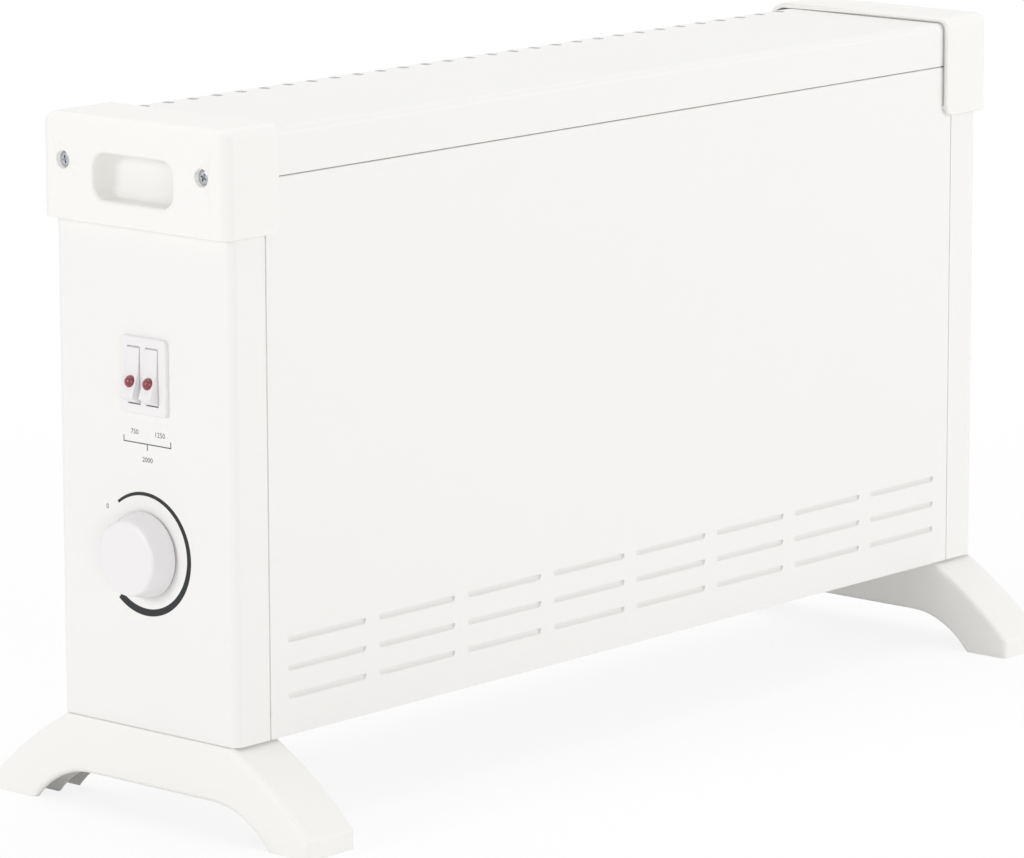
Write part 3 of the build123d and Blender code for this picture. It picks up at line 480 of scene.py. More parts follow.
def makeScrewTree():
    # Pan-head screws with a cross recess, one on each point, along its "outward" direction
    tree, given = newTree("crossScrews", {**dict.fromkeys(screwInputs, "Float"), "Shank Length": "Float",
                                          "Seed": "Int", "Material": "Material"})
    # A pan head from shares of its radius and height; the shank starts inside it and ends blunt
    headProfile = ((1.0, 0.0), (1.0, 0.42), (0.97, 0.64), (0.88, 0.84), (0.62, 1.0))
    around, sunk, blunt = 24, 0.2, 0.2

    def lathed(rings):
        # A convex turned shape from rings of (radius, height)
        cloud = addNode(tree, "GeometryNodeJoinGeometry")
        for radius, height in rings:
            ring = addNode(tree, "GeometryNodeMeshCircle", Vertices=around, Radius=radius)
            lift = addNode(tree, "ShaderNodeCombineXYZ", Z=height)
            moved = addNode(tree, "GeometryNodeTransform", Geometry=ring, Translation=lift)
            tree.links.new(moved.outputs["Geometry"], cloud.inputs[0])
        return addNode(tree, "GeometryNodeConvexHull", Geometry=cloud).outputs[0]

    headRings = []
    times = {"operation": "MULTIPLY"}
    for across, up in headProfile:
        headRings.append((addNode(tree, "ShaderNodeMath", times, i0=given["Head Radius"], i1=across),
                          addNode(tree, "ShaderNodeMath", times, i0=given["Head Height"], i1=up)))
    low = addNode(tree, "ShaderNodeMath", times, i0=given["Shank Length"], i1=-1.0)
    tip = addNode(tree, "ShaderNodeMath", {"operation": "SUBTRACT"}, i0=low, i1=given["Tip Length"])
    point = addNode(tree, "ShaderNodeMath", times, i0=given["Shank Radius"], i1=blunt)
    inHead = addNode(tree, "ShaderNodeMath", times, i0=given["Head Height"], i1=sunk)
    shank = lathed([(given["Shank Radius"], inHead), (given["Shank Radius"], low), (point, tip)])
    whole = addNode(tree, "GeometryNodeMeshBoolean", {"operation": "UNION", "solver": "MANIFOLD"})
    for piece in (lathed(headRings), shank):
        tree.links.new(piece, whole.inputs["Mesh 2"])
    deep = addNode(tree, "ShaderNodeMath", times, i0=given["Recess Depth"], i1=2.0)
    lift = addNode(tree, "ShaderNodeCombineXYZ", Z=given["Head Height"])
    cut = addNode(tree, "GeometryNodeMeshBoolean", {"operation": "DIFFERENCE", "solver": "MANIFOLD"},
                  **{"Mesh 1": whole})
    for across, along in (("Recess Span", "Recess Width"), ("Recess Width", "Recess Span")):
        size = addNode(tree, "ShaderNodeCombineXYZ", X=given[across], Y=given[along], Z=deep)
        arm = addNode(tree, "GeometryNodeMeshCube", Size=size)
        seated = addNode(tree, "GeometryNodeTransform", Geometry=arm, Translation=lift)
        tree.links.new(seated.outputs["Geometry"], cut.inputs["Mesh 2"])
    outward = addNode(tree, "GeometryNodeInputNamedAttribute", {"data_type": "FLOAT_VECTOR"}, Name="outward")
    aim = addNode(tree, "FunctionNodeAlignRotationToVector", {"axis": "Z"},
                  Vector=outward.outputs["Attribute"])
    placed = addNode(tree, "GeometryNodeInstanceOnPoints", Points=given["Geometry"], Instance=cut,
                     Rotation=aim)
    turn = addNode(tree, "FunctionNodeRandomValue", {"data_type": "FLOAT"}, i3=math.pi / 2,
                   Seed=given["Seed"])
    spin = addNode(tree, "ShaderNodeCombineXYZ", Z=turn.outputs[1])
    driven = addNode(tree, "GeometryNodeRotateInstances", Instances=placed, Rotation=spin)
    return finishTree(tree, driven, given["Material"])


punchTree = makePunchTree()
slitTree = makeSlitTree()
screwTree = makeScrewTree()


def gridValues(grid, centre, degrees):
    return {"Columns": grid["columns"], "Rows": grid["rows"], "Column Pitch": grid["columnPitch"] * mm,
            "Row Pitch": grid["rowPitch"] * mm, "Centre": centre,
            "Turn": [math.radians(angle) for angle in degrees]}


def punch(obj, slots, centre, degrees):
    return runTree(obj, punchTree, powderCoat, {
        "Slot Length": slots["length"] * mm, "Slot Width": slots["width"] * mm,
        "Punch Depth": slots["depth"] * mm, **gridValues(slots, centre, degrees)})


def lance(obj, slits, centre, degrees):
    reach, drop = slits["reach"], slits["drop"]
    return runTree(obj, slitTree, powderCoat, {
        "Slit Length": slits["length"] * mm, "Reach": reach * mm,
        "Arc Radius": (reach * reach + drop * drop) / (2 * reach) * mm, "Sheet": folds["sheet"] * mm,
        **gridValues(slits, centre, degrees)})


# Casing panels

airSlits = {"length": 56.3, "reach": 1.6, "drop": 3.0, "columns": 8, "rows": 3,
            "columnPitch": 65.6, "rowPitch": 14.1, "middle": 82.7}
outletSlots = {"width": 5.0, "count": 30, "pitch": 17.1, "front": 39.5, "low": 324.5, "reach": 40.0,
               "tall": 10.0, "past": 6.0}
folds = {"sheet": 0.8, "lip": 0.9, "rim": 0.5, "frontTop": 4.0, "rearTop": 15.0, "coverLip": 8.0,
         "groove": 323.5, "joint": 0.3, "nearSeam": 0.25}
inlet = {"radius": 7.5, "past": 5.0, "around": 48}


def makeFrontPanel():
    low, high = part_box("front_panel")
    centre = ((low.x + high.x) / 2, low.y, airSlits["middle"] * mm)
    high.z, low.x = (folds["groove"] - folds["joint"] / 2) * mm, low.x + folds["nearSeam"] * mm
    outer = [(high.y, high.z), (low.y, high.z), (low.y, low.z)]
    panel = prism("frontPanel", low.x, high.x, foldedStrip(outer, [folds["lip"] * mm], -folds["sheet"] * mm))
    foldEnd = high.z - folds["lip"] * mm

    def onRim(p):
        atEnd = p.z < foldEnd + hair and min(p.x - low.x, high.x - p.x) < hair
        return p.y < low.y + hair and (p.z < low.z + hair or atEnd)
    easeRim(panel, folds["rim"] * mm, onRim)
    panel = shadeByArea(lance(panel, airSlits, centre, (0, 0, 0)), powderCoat, sharpSheet)
    dress(panel, "casing", "casing_paint", "front_panel")


def makeRearPanel():
    # One column of slits fewer, where the lead's inlet and the terminals are
    low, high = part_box("rear_panel")
    high.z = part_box("top_cover")[0].z - folds["joint"] * mm
    outer = [(low.y, high.z), (high.y, high.z), (high.y, low.z)]
    panel = prism("rearPanel", low.x, high.x, foldedStrip(outer, [folds["lip"] * mm], folds["sheet"] * mm))
    slits = dict(airSlits, columns=airSlits["columns"] - 1)
    middle = (low.x + high.x) / 2 + airSlits["columnPitch"] / 2 * mm
    panel = lance(panel, slits, (middle, high.y, airSlits["middle"] * mm), (0, 0, 180))
    bushLow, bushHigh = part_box("cord_inlet_bush")
    x, z, radius = (bushLow.x + bushHigh.x) / 2, (bushLow.z + bushHigh.z) / 2, inlet["radius"] * mm
    turns = [2 * math.pi * i / inlet["around"] for i in range(inlet["around"])]
    circle = [(x + radius * math.cos(turn), z + radius * math.sin(turn)) for turn in turns]
    past = inlet["past"] * mm
    hole = prism("inletHole", high.y - past, high.y + past, circle, axis="y")
    panel = shadeByArea(combine(panel, "DIFFERENCE", hole), powderCoat, sharpSheet)
    dress(panel, "casing", "casing_paint", "rear_panel")


def makeTopCover():
    low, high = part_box("top_cover")
    band = (folds["groove"] + folds["joint"] / 2) * mm
    lip = folds["coverLip"] * mm
    outer = [(low.y + lip, band), (low.y, band), (low.y, high.z), (high.y, high.z), (high.y, low.z),
             (high.y - lip, low.z)]
    radii = [folds[bend] * mm for bend in ("lip", "frontTop", "rearTop", "rim")]
    cover = prism("topCover", low.x, high.x, foldedStrip(outer, radii, folds["sheet"] * mm))
    # Two punches make each slot: one from above to beyond the bend, one from behind round its lower end
    slots, middle = outletSlots, (low.x + high.x) / 2
    deep = (high.z - slots["width"] / 2 * mm) / mm - slots["low"]
    fromAbove = {"length": slots["reach"], "width": slots["width"], "depth": deep + slots["past"],
                 "columns": 1, "rows": slots["count"], "columnPitch": 1.0, "rowPitch": slots["pitch"]}
    above = (middle, (slots["front"] + slots["reach"] / 2) * mm, high.z - (deep - slots["past"]) / 2 * mm)
    cover = punch(cover, fromAbove, above, (0, 0, 90))
    fromBehind = dict(fromAbove, length=slots["tall"], depth=slots["past"])
    behind = (middle, high.y, (slots["low"] + slots["tall"] / 2) * mm)
    cover = shadeByArea(punch(cover, fromBehind, behind, (0, -90, -90)), powderCoat, sharpSheet)
    dress(cover, "casing", "casing_paint", "top_cover")


makeFrontPanel()
makeRearPanel()
makeTopCover()
for node, name in (("base_panel", "basePanel"), ("control_side_panel", "controlSidePanel"),
                   ("plain_side_panel", "plainSidePanel")):
    dressedCopy(node, name, powderCoat, "casing", "casing_paint")
print("casing panels made")


# End caps, feet and knob: copies brought to the outlines that the photograph shows

capRounds = {"rearTop": 14.0, "frontTop": 6.0, "low": 1.0, "end": 5.5, "clear": 0.02, "past": 10.0}
fingerRecess = {"height": 320.0, "halfWidth": 31.0, "halfHeight": 15.5, "lip": 3.0, "packed": 25.0,
                "shown": 14.5}
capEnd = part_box("control_end_cap")[0].x


def recessReshape(point):
    # Brings the floor of the finger recess out to the depth that the photograph shows
    size = fingerRecess
    depth = (point.x - capEnd) / mm
    if abs(point.y) > size["halfWidth"] * mm or abs(point.z / mm - size["height"]) > size["halfHeight"]:
        return point
    if depth < size["lip"] or depth > size["packed"] + size["lip"]:
        return point
    share = (size["shown"] - size["lip"]) / (size["packed"] - size["lip"])
    return Vector((point.x + (size["lip"] - depth) * (1 - share) * mm, point.y, point.z))


def makeEndCaps(node, name, farNode, farName):
    # The copy is cut to an outer form with a large rear top corner and an evenly rounded end;
    # the cap of the far end is its mirror image
    low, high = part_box(node)
    clear, past = capRounds["clear"] * mm, capRounds["past"] * mm
    y0, y1, top = low.y - clear, high.y + clear, high.z + clear
    corners = [(y1, top), (y0, top), (y0, low.z - past), (y1, low.z - past)]
    outline = closedOutline(corners, [capRounds[key] * mm for key in ("rearTop", "frontTop", "low", "low")])
    endFace = low.x - clear
    form = prism("capForm", endFace, high.x + past, outline)
    easeRim(form, capRounds["end"] * mm, lambda p: p.x < endFace + hair, segments=8)
    cap = combine(mergedCopy(node, name, recessReshape), "INTERSECT", form)
    farCap = addObject(farName, cap.data.copy())
    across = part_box(farNode)[1].x + low.x
    farCap.data.transform(Matrix.Translation((across, 0, 0)) @ Matrix.Scale(-1, 4, (1, 0, 0)))
    farCap.data.flip_normals()
    for piece, replaced in ((cap, node), (farCap, farNode)):
        dress(shadeByArea(piece, grainedAbs, sharpMoulding), "casing", "cap_plastic", replaced)


makeEndCaps("control_end_cap", "controlEndCap", "plain_end_cap", "plainEndCap")

# Each curve runs from the seat over the shoulder to the top of the toe, as (y, z)
footCurves = {"packed": ((57.0, 47.0), (85.0, 30.7), (106.6, 13.0)),
              "shown": ((57.0, 47.3), (85.0, 29.4), (108.0, 9.8)), "toeInner": 80.0,
              "seatPlay": 0.05}


def heightOnArc(points, y):
    # Height at y of the circle through three points
    (ax, az), (bx, bz), (cx, cz) = points
    d = 2 * (ax * (bz - cz) + bx * (cz - az) + cx * (az - bz))
    a, b, c = ax * ax + az * az, bx * bx + bz * bz, cx * cx + cz * cz
    centreY = (a * (bz - cz) + b * (cz - az) + c * (az - bz)) / d
    centreZ = (a * (cx - bx) + b * (ax - cx) + c * (bx - ax)) / d
    radius = math.hypot(ax - centreY, az - centreZ)
    side = 1 if bz > centreZ else -1
    return centreZ + side * math.sqrt(max(radius ** 2 - (y - centreY) ** 2, 0))


def footReshape(point):
    # Slimmer toes: widths past the arch and heights under the top curve are scaled
    packed, shown, inner = footCurves["packed"], footCurves["shown"], footCurves["toeInner"]
    y, z = abs(point.y) / mm, point.z / mm
    if z > packed[0][1] + footCurves["seatPlay"]:
        return point
    stretch = (shown[2][0] - inner) / (packed[2][0] - inner)
    newY = inner + (y - inner) * stretch if y > inner else y
    ratio = shown[0][1] / packed[0][1]
    if y > packed[0][0]:
        ratio = heightOnArc(shown, newY) / heightOnArc(packed, min(y, packed[2][0]))
    return Vector((point.x, math.copysign(newY, point.y) * mm, z * ratio * mm))


for node, name in (("control_end_foot", "controlEndFoot"), ("plain_end_foot", "plainEndFoot")):
    dressedCopy(node, name, grainedAbs, "casing", "cap_plastic", reshape=footReshape)

# Distances along the knob are from its root, radii from its axis
knobPointer = {"flange": 1.6, "roof": 10.9, "flangeRadius": 21.3, "roofRadius": 19.0,
               "play": 0.01}
knobLow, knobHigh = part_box("thermostat_knob")
knobY, knobZ = (knobLow.y + knobHigh.y) / 2, (knobLow.z + knobHigh.z) / 2


def knobReshape(point):
    # Draws the pointer in to a low rib on the knob's slope
    radius = math.hypot(point.y - knobY, point.z - knobZ) / mm
    along = (knobHigh.x - point.x) / mm
    share = (along - knobPointer["flange"]) / (knobPointer["roof"] - knobPointer["flange"])
    share = min(max(share, 0.0), 1.0)
    most = knobPointer["flangeRadius"] + (knobPointer["roofRadius"] - knobPointer["flangeRadius"]) * share
    if radius <= most + knobPointer["play"]:
        return point
    x, pull = knobHigh.x - min(along, knobPointer["roof"]) * mm, most / radius
    return Vector((x, knobY + (point.y - knobY) * pull, knobZ + (point.z - knobZ) * pull))


dressedCopy("thermostat_knob", "thermostatKnob", polishedAbs, "thermostat_dial", "control_plastic",
            reshape=knobReshape)

# Twin rocker switch, measured from its centre on the end panel's face and from the rockers' pivot

switch = {"y": -2.1, "z": 224.3, "bezelWidth": 30.5, "bezelHeight": 38.0, "bezelThick": 2.4,
          "bezelCorner": 2.5, "bezelRound": 0.9, "bodyWidth": 25.2, "bodyHeight": 34.0, "roomFloor": 10.0,
          "rim": 1.6, "windowHalf": 14.4, "play": 0.3, "roomPlay": 0.4, "overlap": 1.0}
rocker = {"width": 8.0, "pitch": 12.3, "pivot": 3.0, "tilt": 12.35, "half": 12.0, "ridge": 7.0, "edge": 8.5,
          "skirt": 1.0, "heel": 0.5, "heelInset": 1.5, "keelX": 3.0, "keel": 5.0, "round": 0.5,
          "frontPlay": 0.1}
lens = {"radius": 3.1, "height": 2.4, "drop": 4.4, "stem": 2.0, "stemInset": 0.6, "steps": 10, "around": 40,
        "sharp": 40.0}


def makeSwitchHousing():
    face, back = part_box("control_side_panel")[0].x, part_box("switch_housing")[1].x
    y, z, overlap = switch["y"] * mm, switch["z"] * mm, switch["overlap"] * mm
    front = face - switch["bezelThick"] * mm
    halfY, halfZ = switch["bezelWidth"] / 2 * mm, switch["bezelHeight"] / 2 * mm
    corners = [(y + halfY, z + halfZ), (y - halfY, z + halfZ), (y - halfY, z - halfZ),
               (y + halfY, z - halfZ)]
    housing = prism("switchHousing", front, face, closedOutline(corners, [switch["bezelCorner"] * mm] * 4))
    easeRim(housing, switch["bezelRound"] * mm, lambda p: p.x < front + hair)
    halfY, halfZ = switch["bodyWidth"] / 2 * mm, switch["bodyHeight"] / 2 * mm
    body = block("switchBody", (face - overlap, y - halfY, z - halfZ), (back, y + halfY, z + halfZ))
    housing = combine(housing, "UNION", body)
    skirt = math.hypot(rocker["half"], rocker["edge"]) + switch["roomPlay"]
    floor = face + switch["roomFloor"] * mm
    half = (rocker["width"] / 2 + switch["play"]) * mm
    window, hollow = (front - overlap, switch["windowHalf"] * mm), (front + switch["rim"] * mm, skirt * mm)
    for side in (-1, 1):
        middle = y + side * rocker["pitch"] / 2 * mm
        for start, reach in (window, hollow):
            room = block("rockerRoom", (start, middle - half, z - reach), (floor, middle + half, z + reach))
            housing = combine(housing, "DIFFERENCE", room)
    dress(shadeByArea(housing, polishedAbs, sharpSheet), "casing", "control_plastic", "switch_housing")


def arcTo(start, end, radius, steps=6):
    # The points between start and end on a circle about the pivot
    first, last = math.atan2(start[1], start[0]), math.atan2(end[1], end[0])
    if abs(last - first) > math.pi:
        last += math.copysign(2 * math.pi, first)
    turns = [first + (last - first) * i / steps for i in range(1, steps)]
    return [(radius * math.cos(turn), radius * math.sin(turn)) for turn in turns]


def inSwitch(obj, sideY, lean=0.0, shift=(0, 0, 0)):
    # From the rocker's own place to the heater's: tipped, then out at its pivot
    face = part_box("control_side_panel")[0].x
    pivotY = switch["y"] + sideY * rocker["pitch"] / 2
    pivot = Vector((face + rocker["pivot"] * mm, pivotY * mm, switch["z"] * mm))
    tip = Matrix.Rotation(math.radians(rocker["tilt"]), 4, "Y")
    own = Matrix.Translation(Vector(shift) * mm) @ Matrix.Rotation(math.radians(lean), 4, "Y")
    obj.data.transform(Matrix.Translation(pivot) @ tip @ own)
    return obj


def makeRocker(node, name, lensNode, lensName, body, sideY):
    # Seen from the side a shallow V, its two ends round about the pivot
    reach = math.hypot(rocker["half"], rocker["edge"])
    depth = math.sqrt(reach ** 2 - rocker["skirt"] ** 2)
    high, low = (-rocker["edge"], rocker["half"]), (-rocker["edge"], -rocker["half"])
    skirtLow, skirtHigh = (-rocker["skirt"], -depth), (-rocker["skirt"], depth)
    heel = depth - rocker["heelInset"]
    section = [high, (-rocker["ridge"], 0), low, *arcTo(low, skirtLow, reach), skirtLow,
               (rocker["heel"], -heel), (rocker["keelX"], -rocker["keel"]),
               (rocker["keelX"], rocker["keel"]), (rocker["heel"], heel), skirtHigh,
               *arcTo(skirtHigh, high, reach)]
    half = rocker["width"] / 2 * mm
    piece = prism(name, -half, half, [(x * mm, z * mm) for x, z in section], axis="y")
    front = (rocker["frontPlay"] - rocker["ridge"]) * mm
    easeRim(piece, rocker["round"] * mm, lambda p: p.x < front and abs(p.y) > half - hair)
    inSwitch(piece, sideY)
    dress(shadeByArea(piece, polishedAbs, sharpSheet), body, "control_plastic", node)
    lean = math.degrees(math.atan2(rocker["edge"] - rocker["ridge"], rocker["half"]))
    x = -rocker["ridge"] - lens["drop"] * math.tan(math.radians(lean))
    jewel = inSwitch(makeLens(lensName), sideY, lean, (x, 0, -lens["drop"]))
    dress(shadeByArea(jewel, rubyLens, lens["sharp"]), body, "lens_red", lensNode)


def makeLens(name):
    # A domed jewel that bulges towards -X, on a short stem in the rocker
    ball = (lens["radius"] ** 2 + lens["height"] ** 2) / (2 * lens["height"])
    widest = math.asin(min(lens["radius"] / ball, 1.0))
    profile = [(ball * math.sin(widest * i / lens["steps"]), ball - lens["height"]
                - ball * math.cos(widest * i / lens["steps"])) for i in range(1, lens["steps"] + 1)]
    stemRadius = lens["radius"] - lens["stemInset"]
    profile += [(stemRadius, 0.0), (stemRadius, lens["stem"])]
    build = bmesh.new()
    tip, foot = build.verts.new((-lens["height"] * mm, 0, 0)), build.verts.new((lens["stem"] * mm, 0, 0))
    turns = [2 * math.pi * i / lens["around"] for i in range(lens["around"])]
    rings = [[build.verts.new((x * mm, r * math.cos(t) * mm, r * math.sin(t) * mm)) for t in turns]
             for r, x in profile]
    for i in range(lens["around"]):
        j = (i + 1) % lens["around"]
        build.faces.new((tip, rings[0][i], rings[0][j]))
        build.faces.new((foot, rings[-1][j], rings[-1][i]))
        for near, far in zip(rings, rings[1:]):
            build.faces.new((near[i], far[i], far[j], near[j]))
    bmesh.ops.recalc_face_normals(build, faces=build.faces)
    mesh = bpy.data.meshes.new(name)
    build.to_mesh(mesh)
    build.free()
    return addObject(name, mesh)


makeSwitchHousing()
makeRocker("rear_rocker", "rearRocker", "rear_neon_lens", "rearNeonLens", "rear_switch", 1)
makeRocker("front_rocker", "frontRocker", "front_neon_lens", "frontNeonLens", "front_switch", -1)
dressedCopy("cord_inlet_bush", "cordInletBush", nylon, "casing", "nylon")
print("mouldings made")


# Screws

screwSizes = {"headRadius": 3.7, "packedHeight": 2.4, "headHeight": 1.8, "shankRadius": 1.95, "tip": 3.0,
              "long": 9.0, "short": 6.0, "recessSpan": 4.0, "recessWidth": 0.95, "recessDepth": 1.3,
              "sharp": 35.0, "seed": 4}


def makeScrews(node, name, seats, length):
    # seats holds pairs of a place under the head and the way the head faces
    mesh = bpy.data.meshes.new(name)
    mesh.from_pydata([place for place, way in seats], [], [])
    outward = mesh.attributes.new("outward", "FLOAT_VECTOR", "POINT")
    for item, (place, way) in zip(outward.data, seats):
        item.vector = way
    values = {label: screwSizes[key] * mm for label, key in screwInputs.items()}
    values.update({"Shank Length": length * mm, "Seed": screwSizes["seed"]})
    screws = runTree(addObject(name, mesh), screwTree, zincPlate, values)
    dress(shadeByArea(screws, zincPlate, screwSizes["sharp"]), "casing", "zinc_plated_steel", node)


def makeAllScrews():
    head, thick = screwSizes["headRadius"] * mm, screwSizes["packedHeight"] * mm
    low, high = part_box("end_cap_screws")
    middle = (low.z + high.z) / 2
    ends = [((x, y, middle), way) for x, way in ((low.x + thick, (-1, 0, 0)), (high.x - thick, (1, 0, 0)))
            for y in (low.y + head, high.y - head)]
    makeScrews("end_cap_screws", "endCapScrews", ends, screwSizes["long"])
    low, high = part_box("foot_screws")
    below = [((x, y, low.z + thick), (0, 0, -1)) for x in (low.x + head, high.x - head)
             for y in (low.y + head, high.y - head)]
    makeScrews("foot_screws", "footScrews", below, screwSizes["long"])
    low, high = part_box("rear_panel_screws")
    heights = (low.z + head, (low.z + high.z) / 2, high.z - head)
    behind = [((x, high.y - thick, z), (0, 1, 0)) for x in (low.x + head, high.x - head) for z in heights]
    makeScrews("rear_panel_screws", "rearPanelScrews", behind, screwSizes["short"])


makeAllScrews()
print("screws made")


# Print on the control end: the wattages with their bracket, and a widening sweep round the knob

ink = {"thickness": 0.05, "font": 3.6, "curveSteps": 3}
bracket = {"half": 16.0, "height": 190.4, "line": 0.55, "endTick": 3.0, "middleTick": 3.2,
           "digitsAbove": 195.7, "digitsBelow": 182.5, "columns": 8.6}
sweep = {"radius": 30.8, "start": 52.0, "turn": 256.0, "thin": 1.4, "thick": 4.0, "steps": 72,
         "zeroY": 26.0, "zeroZ": 156.0}


def inkMesh(name, outlines, finish):
    # Flat outlines of (y, z) in millimetres become a thin layer on the end panel
    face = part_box("control_side_panel")[0].x
    sections = [[(y * mm, z * mm) for y, z in outline] for outline in outlines]
    layer = prism(name, face - ink["thickness"] * mm, face, *sections)
    layer.data.materials.append(finish)
    dress(layer, "casing", "casing_paint")


def makeBracket():
    middle, half, z, line = switch["y"], bracket["half"], bracket["height"], bracket["line"] / 2
    left, right, tick = middle - half, middle + half, z + bracket["endTick"]
    outline = [(left - line, z - line), (right + line, z - line), (right + line, tick), (right - line, tick),
               (right - line, z + line), (left + line, z + line), (left + line, tick), (left - line, tick)]
    low, high = z - bracket["middleTick"], z - line
    stem = [(middle - line, low), (middle + line, low), (middle + line, high), (middle - line, high)]
    inkMesh("wattageBracket", [outline, stem], greyInk)


def makeDigits(name, text, y, z):
    # Plain numbers, laid on the end panel and read from outside it
    curve = bpy.data.curves.new(name, "FONT")
    curve.body, curve.size = text, ink["font"] * mm
    curve.align_x, curve.align_y = "CENTER", "CENTER"
    curve.extrude = ink["thickness"] / 2 * mm
    curve.resolution_u = ink["curveSteps"]
    digits = freeze(addObject(name, curve), greyInk)
    build = bmesh.new()
    build.from_mesh(digits.data)
    bmesh.ops.remove_doubles(build, verts=build.verts, dist=sliver)
    build.to_mesh(digits.data)
    build.free()
    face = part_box("control_side_panel")[0].x
    axes = Matrix(((0, 0, -1), (-1, 0, 0), (0, 1, 0))).to_4x4()
    place = Matrix.Translation((face - ink["thickness"] / 2 * mm, y * mm, z * mm))
    digits.data.transform(place @ axes)
    dress(digits, "casing", "casing_paint")


def makeSweep():
    # Starts thin at the knob's first position and widens clockwise to the last
    centreY, centreZ = knobY / mm, knobZ / mm
    rims = []
    for i in range(sweep["steps"] + 1):
        share = i / sweep["steps"]
        angle = math.radians(sweep["start"] + sweep["turn"] * share)
        width = sweep["thin"] + (sweep["thick"] - sweep["thin"]) * share
        rims.append([(centreY + radius * math.cos(angle), centreZ + radius * math.sin(angle))
                     for radius in (sweep["radius"], sweep["radius"] - width)])
    outer, inner = [rim[0] for rim in rims], [rim[1] for rim in rims]
    inkMesh("heatSweep", [outer + inner[::-1]], blackInk)


makeBracket()
makeDigits("lowWattage", "750", switch["y"] + bracket["columns"], bracket["digitsAbove"])
makeDigits("highWattage", "1250", switch["y"] - bracket["columns"], bracket["digitsAbove"])
makeDigits("fullWattage", "2000", switch["y"], bracket["digitsBelow"])
makeSweep()
makeDigits("sweepStart", "0", sweep["zeroY"], sweep["zeroZ"])
print("print made")


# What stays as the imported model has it, with its own finish

innerFinishes = {
    "zinc_plated_steel": zincPlate, "aluminium": extrudedAluminium, "ceramic": steatite,
    "brass": cartridgeBrass, "nylon": nylon}
stripSteel = ("control_partition", "plain_partition", "outlet_deflector")
for part in frame["record"]["subparts"]:
    finish = galvanisedStrip if part["node"] in stripSteel else innerFinishes.get(part["material_slot"])
    if finish:
        mesh = frame["nodes"][part["node"]].data
        mesh.materials.clear()
        mesh.materials.append(finish)


# Stage

# Sizes in metres. Near the heater the floor keeps a soft shadow, from fadeEnd on it is seen as white
stageLook = {"floor": "#fafafa", "floorSize": 12.0, "nearShare": 0.86, "fadeStart": 0.45, "fadeEnd": 1.1}


def seenRays(tree):
    # 1 for what the camera sees directly, in a reflection or through glass
    path = addNode(tree, "ShaderNodeLightPath")
    seen = path.outputs["Is Camera Ray"]
    for kind in ("Is Glossy Ray", "Is Transmission Ray"):
        seen = addNode(tree, "ShaderNodeMath", {"operation": "ADD", "use_clamp": True},
                       i0=seen, i1=path.outputs[kind])
    return seen


def makeFloor():
    half = stageLook["floorSize"] / 2
    mesh = bpy.data.meshes.new("floor")
    corners = [(-half, -half, 0), (half, -half, 0), (half, half, 0), (-half, half, 0)]
    mesh.from_pydata(corners, [], [(0, 1, 2, 3)])
    material, tree = newMaterial("paleFloor")
    place = addNode(tree, "ShaderNodeTexCoord").outputs["Object"]
    away = addNode(tree, "ShaderNodeVectorMath", {"operation": "LENGTH"}, i0=place).outputs["Value"]
    fade = addNode(tree, "ShaderNodeMapRange", {"interpolation_type": "SMOOTHSTEP"}, Value=away, **{
        "From Min": stageLook["fadeStart"], "From Max": stageLook["fadeEnd"],
        "To Min": stageLook["nearShare"]})
    share = addNode(tree, "ShaderNodeMath", {"operation": "MULTIPLY"}, i0=seenRays(tree), i1=fade)
    matt = addNode(tree, "ShaderNodeBsdfDiffuse", Color=linearColour(stageLook["floor"]))
    white = addNode(tree, "ShaderNodeEmission", Strength=1.0)
    shader = addNode(tree, "ShaderNodeMixShader", Fac=share, i1=matt, i2=white)
    addNode(tree, "ShaderNodeOutputMaterial", Surface=shader)
    addObject("floor", mesh, material)


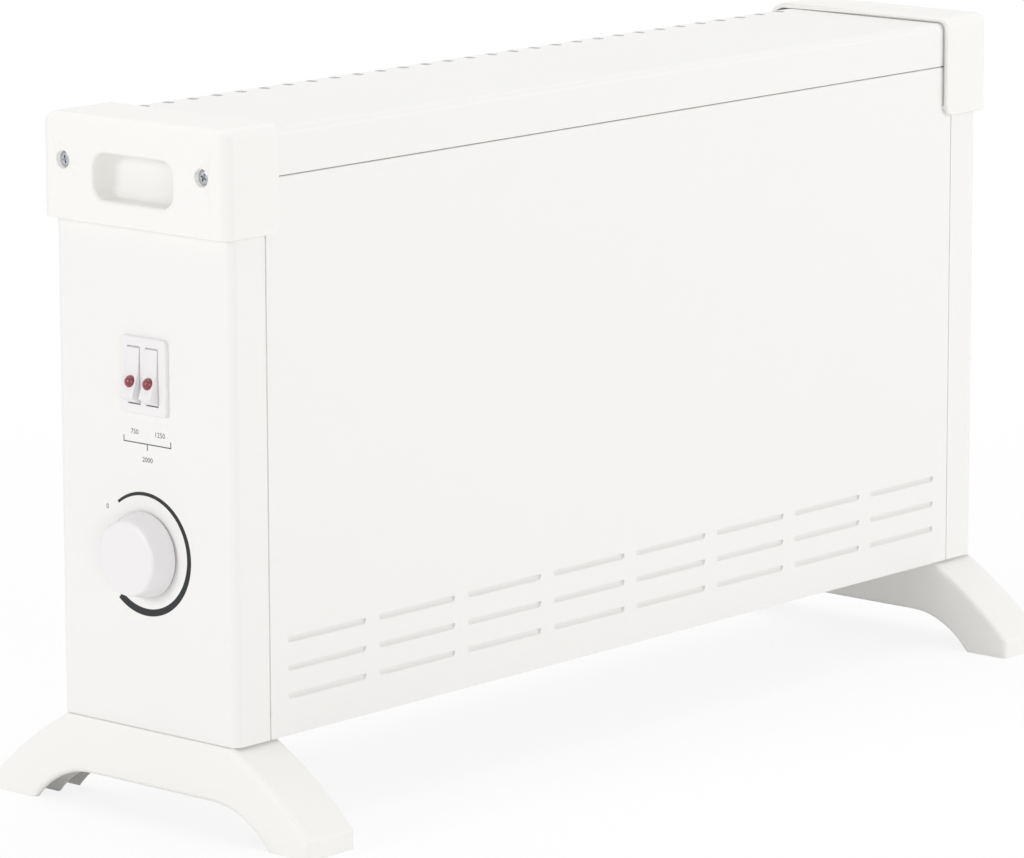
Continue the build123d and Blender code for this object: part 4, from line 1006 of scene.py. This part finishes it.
def makeWorld():
    world = bpy.data.worlds.new("studio")
    bpy.context.scene.world = world
    world.use_nodes = True
    tree = world.node_tree
    tree.nodes.clear()
    soft = addNode(tree, "ShaderNodeBackground", Color=(1, 1, 1, 1), Strength=lights["skyStrength"])
    white = addNode(tree, "ShaderNodeBackground", Color=(1, 1, 1, 1), Strength=1.0)
    mix = addNode(tree, "ShaderNodeMixShader", Fac=seenRays(tree), i1=soft, i2=white)
    addNode(tree, "ShaderNodeOutputWorld", Surface=mix)


# Each soft box: place in metres, edge in metres, power in watts. All aim at the heater's middle
lights = {"skyStrength": 0.6, "aim": (0, 0, 0.17),
          "boxes": {"keyBox": ((-2.85, 0.65, 1.05), 0.8, 19.0),
                    "fillBox": ((-2.0, -2.5, 0.35), 1.2, 13.5),
                    "frontBox": ((1.9, -2.4, 0.8), 1.6, 23.0),
                    "topBox": ((0.2, 0.2, 2.8), 2.0, 24.0)}}


def makeLights():
    for name, (place, size, power) in lights["boxes"].items():
        lamp = bpy.data.lights.new(name, "AREA")
        lamp.shape, lamp.size, lamp.energy = "SQUARE", size, power
        obj = addObject(name, lamp)
        obj.location = place
        obj.rotation_euler = (Vector(lights["aim"]) - Vector(place)).to_track_quat("-Z", "Y").to_euler()


# The photograph's own view: place and lens in millimetres, angles in degrees, reach in metres
cameraView = {"place": (-2252.7, -1975.0, 741.9), "yaw": 48.50, "down": 11.09,
              "roll": -0.173, "lens": 205.2, "sensor": 36.0, "reach": (0.05, 60.0)}


def makeCamera():
    yaw, down = math.radians(cameraView["yaw"]), math.radians(cameraView["down"])
    ahead = Vector((math.sin(yaw) * math.cos(down), math.cos(yaw) * math.cos(down), -math.sin(down)))
    right = Vector((math.cos(yaw), -math.sin(yaw), 0))
    turn = Matrix((right, right.cross(ahead), -ahead)).transposed()
    turn = turn @ Matrix.Rotation(math.radians(cameraView["roll"]), 3, "Z")
    data = bpy.data.cameras.new("camera")
    data.lens, data.sensor_width = cameraView["lens"], cameraView["sensor"]
    data.clip_start, data.clip_end = cameraView["reach"]
    camera = addObject("camera", data)
    camera.matrix_world = Matrix.Translation(Vector(cameraView["place"]) * mm) @ turn.to_4x4()
    bpy.context.scene.camera = camera


makeFloor()
makeWorld()
makeLights()
makeCamera()
bpy.context.scene.view_settings.view_transform = "Standard"
print("stage set")
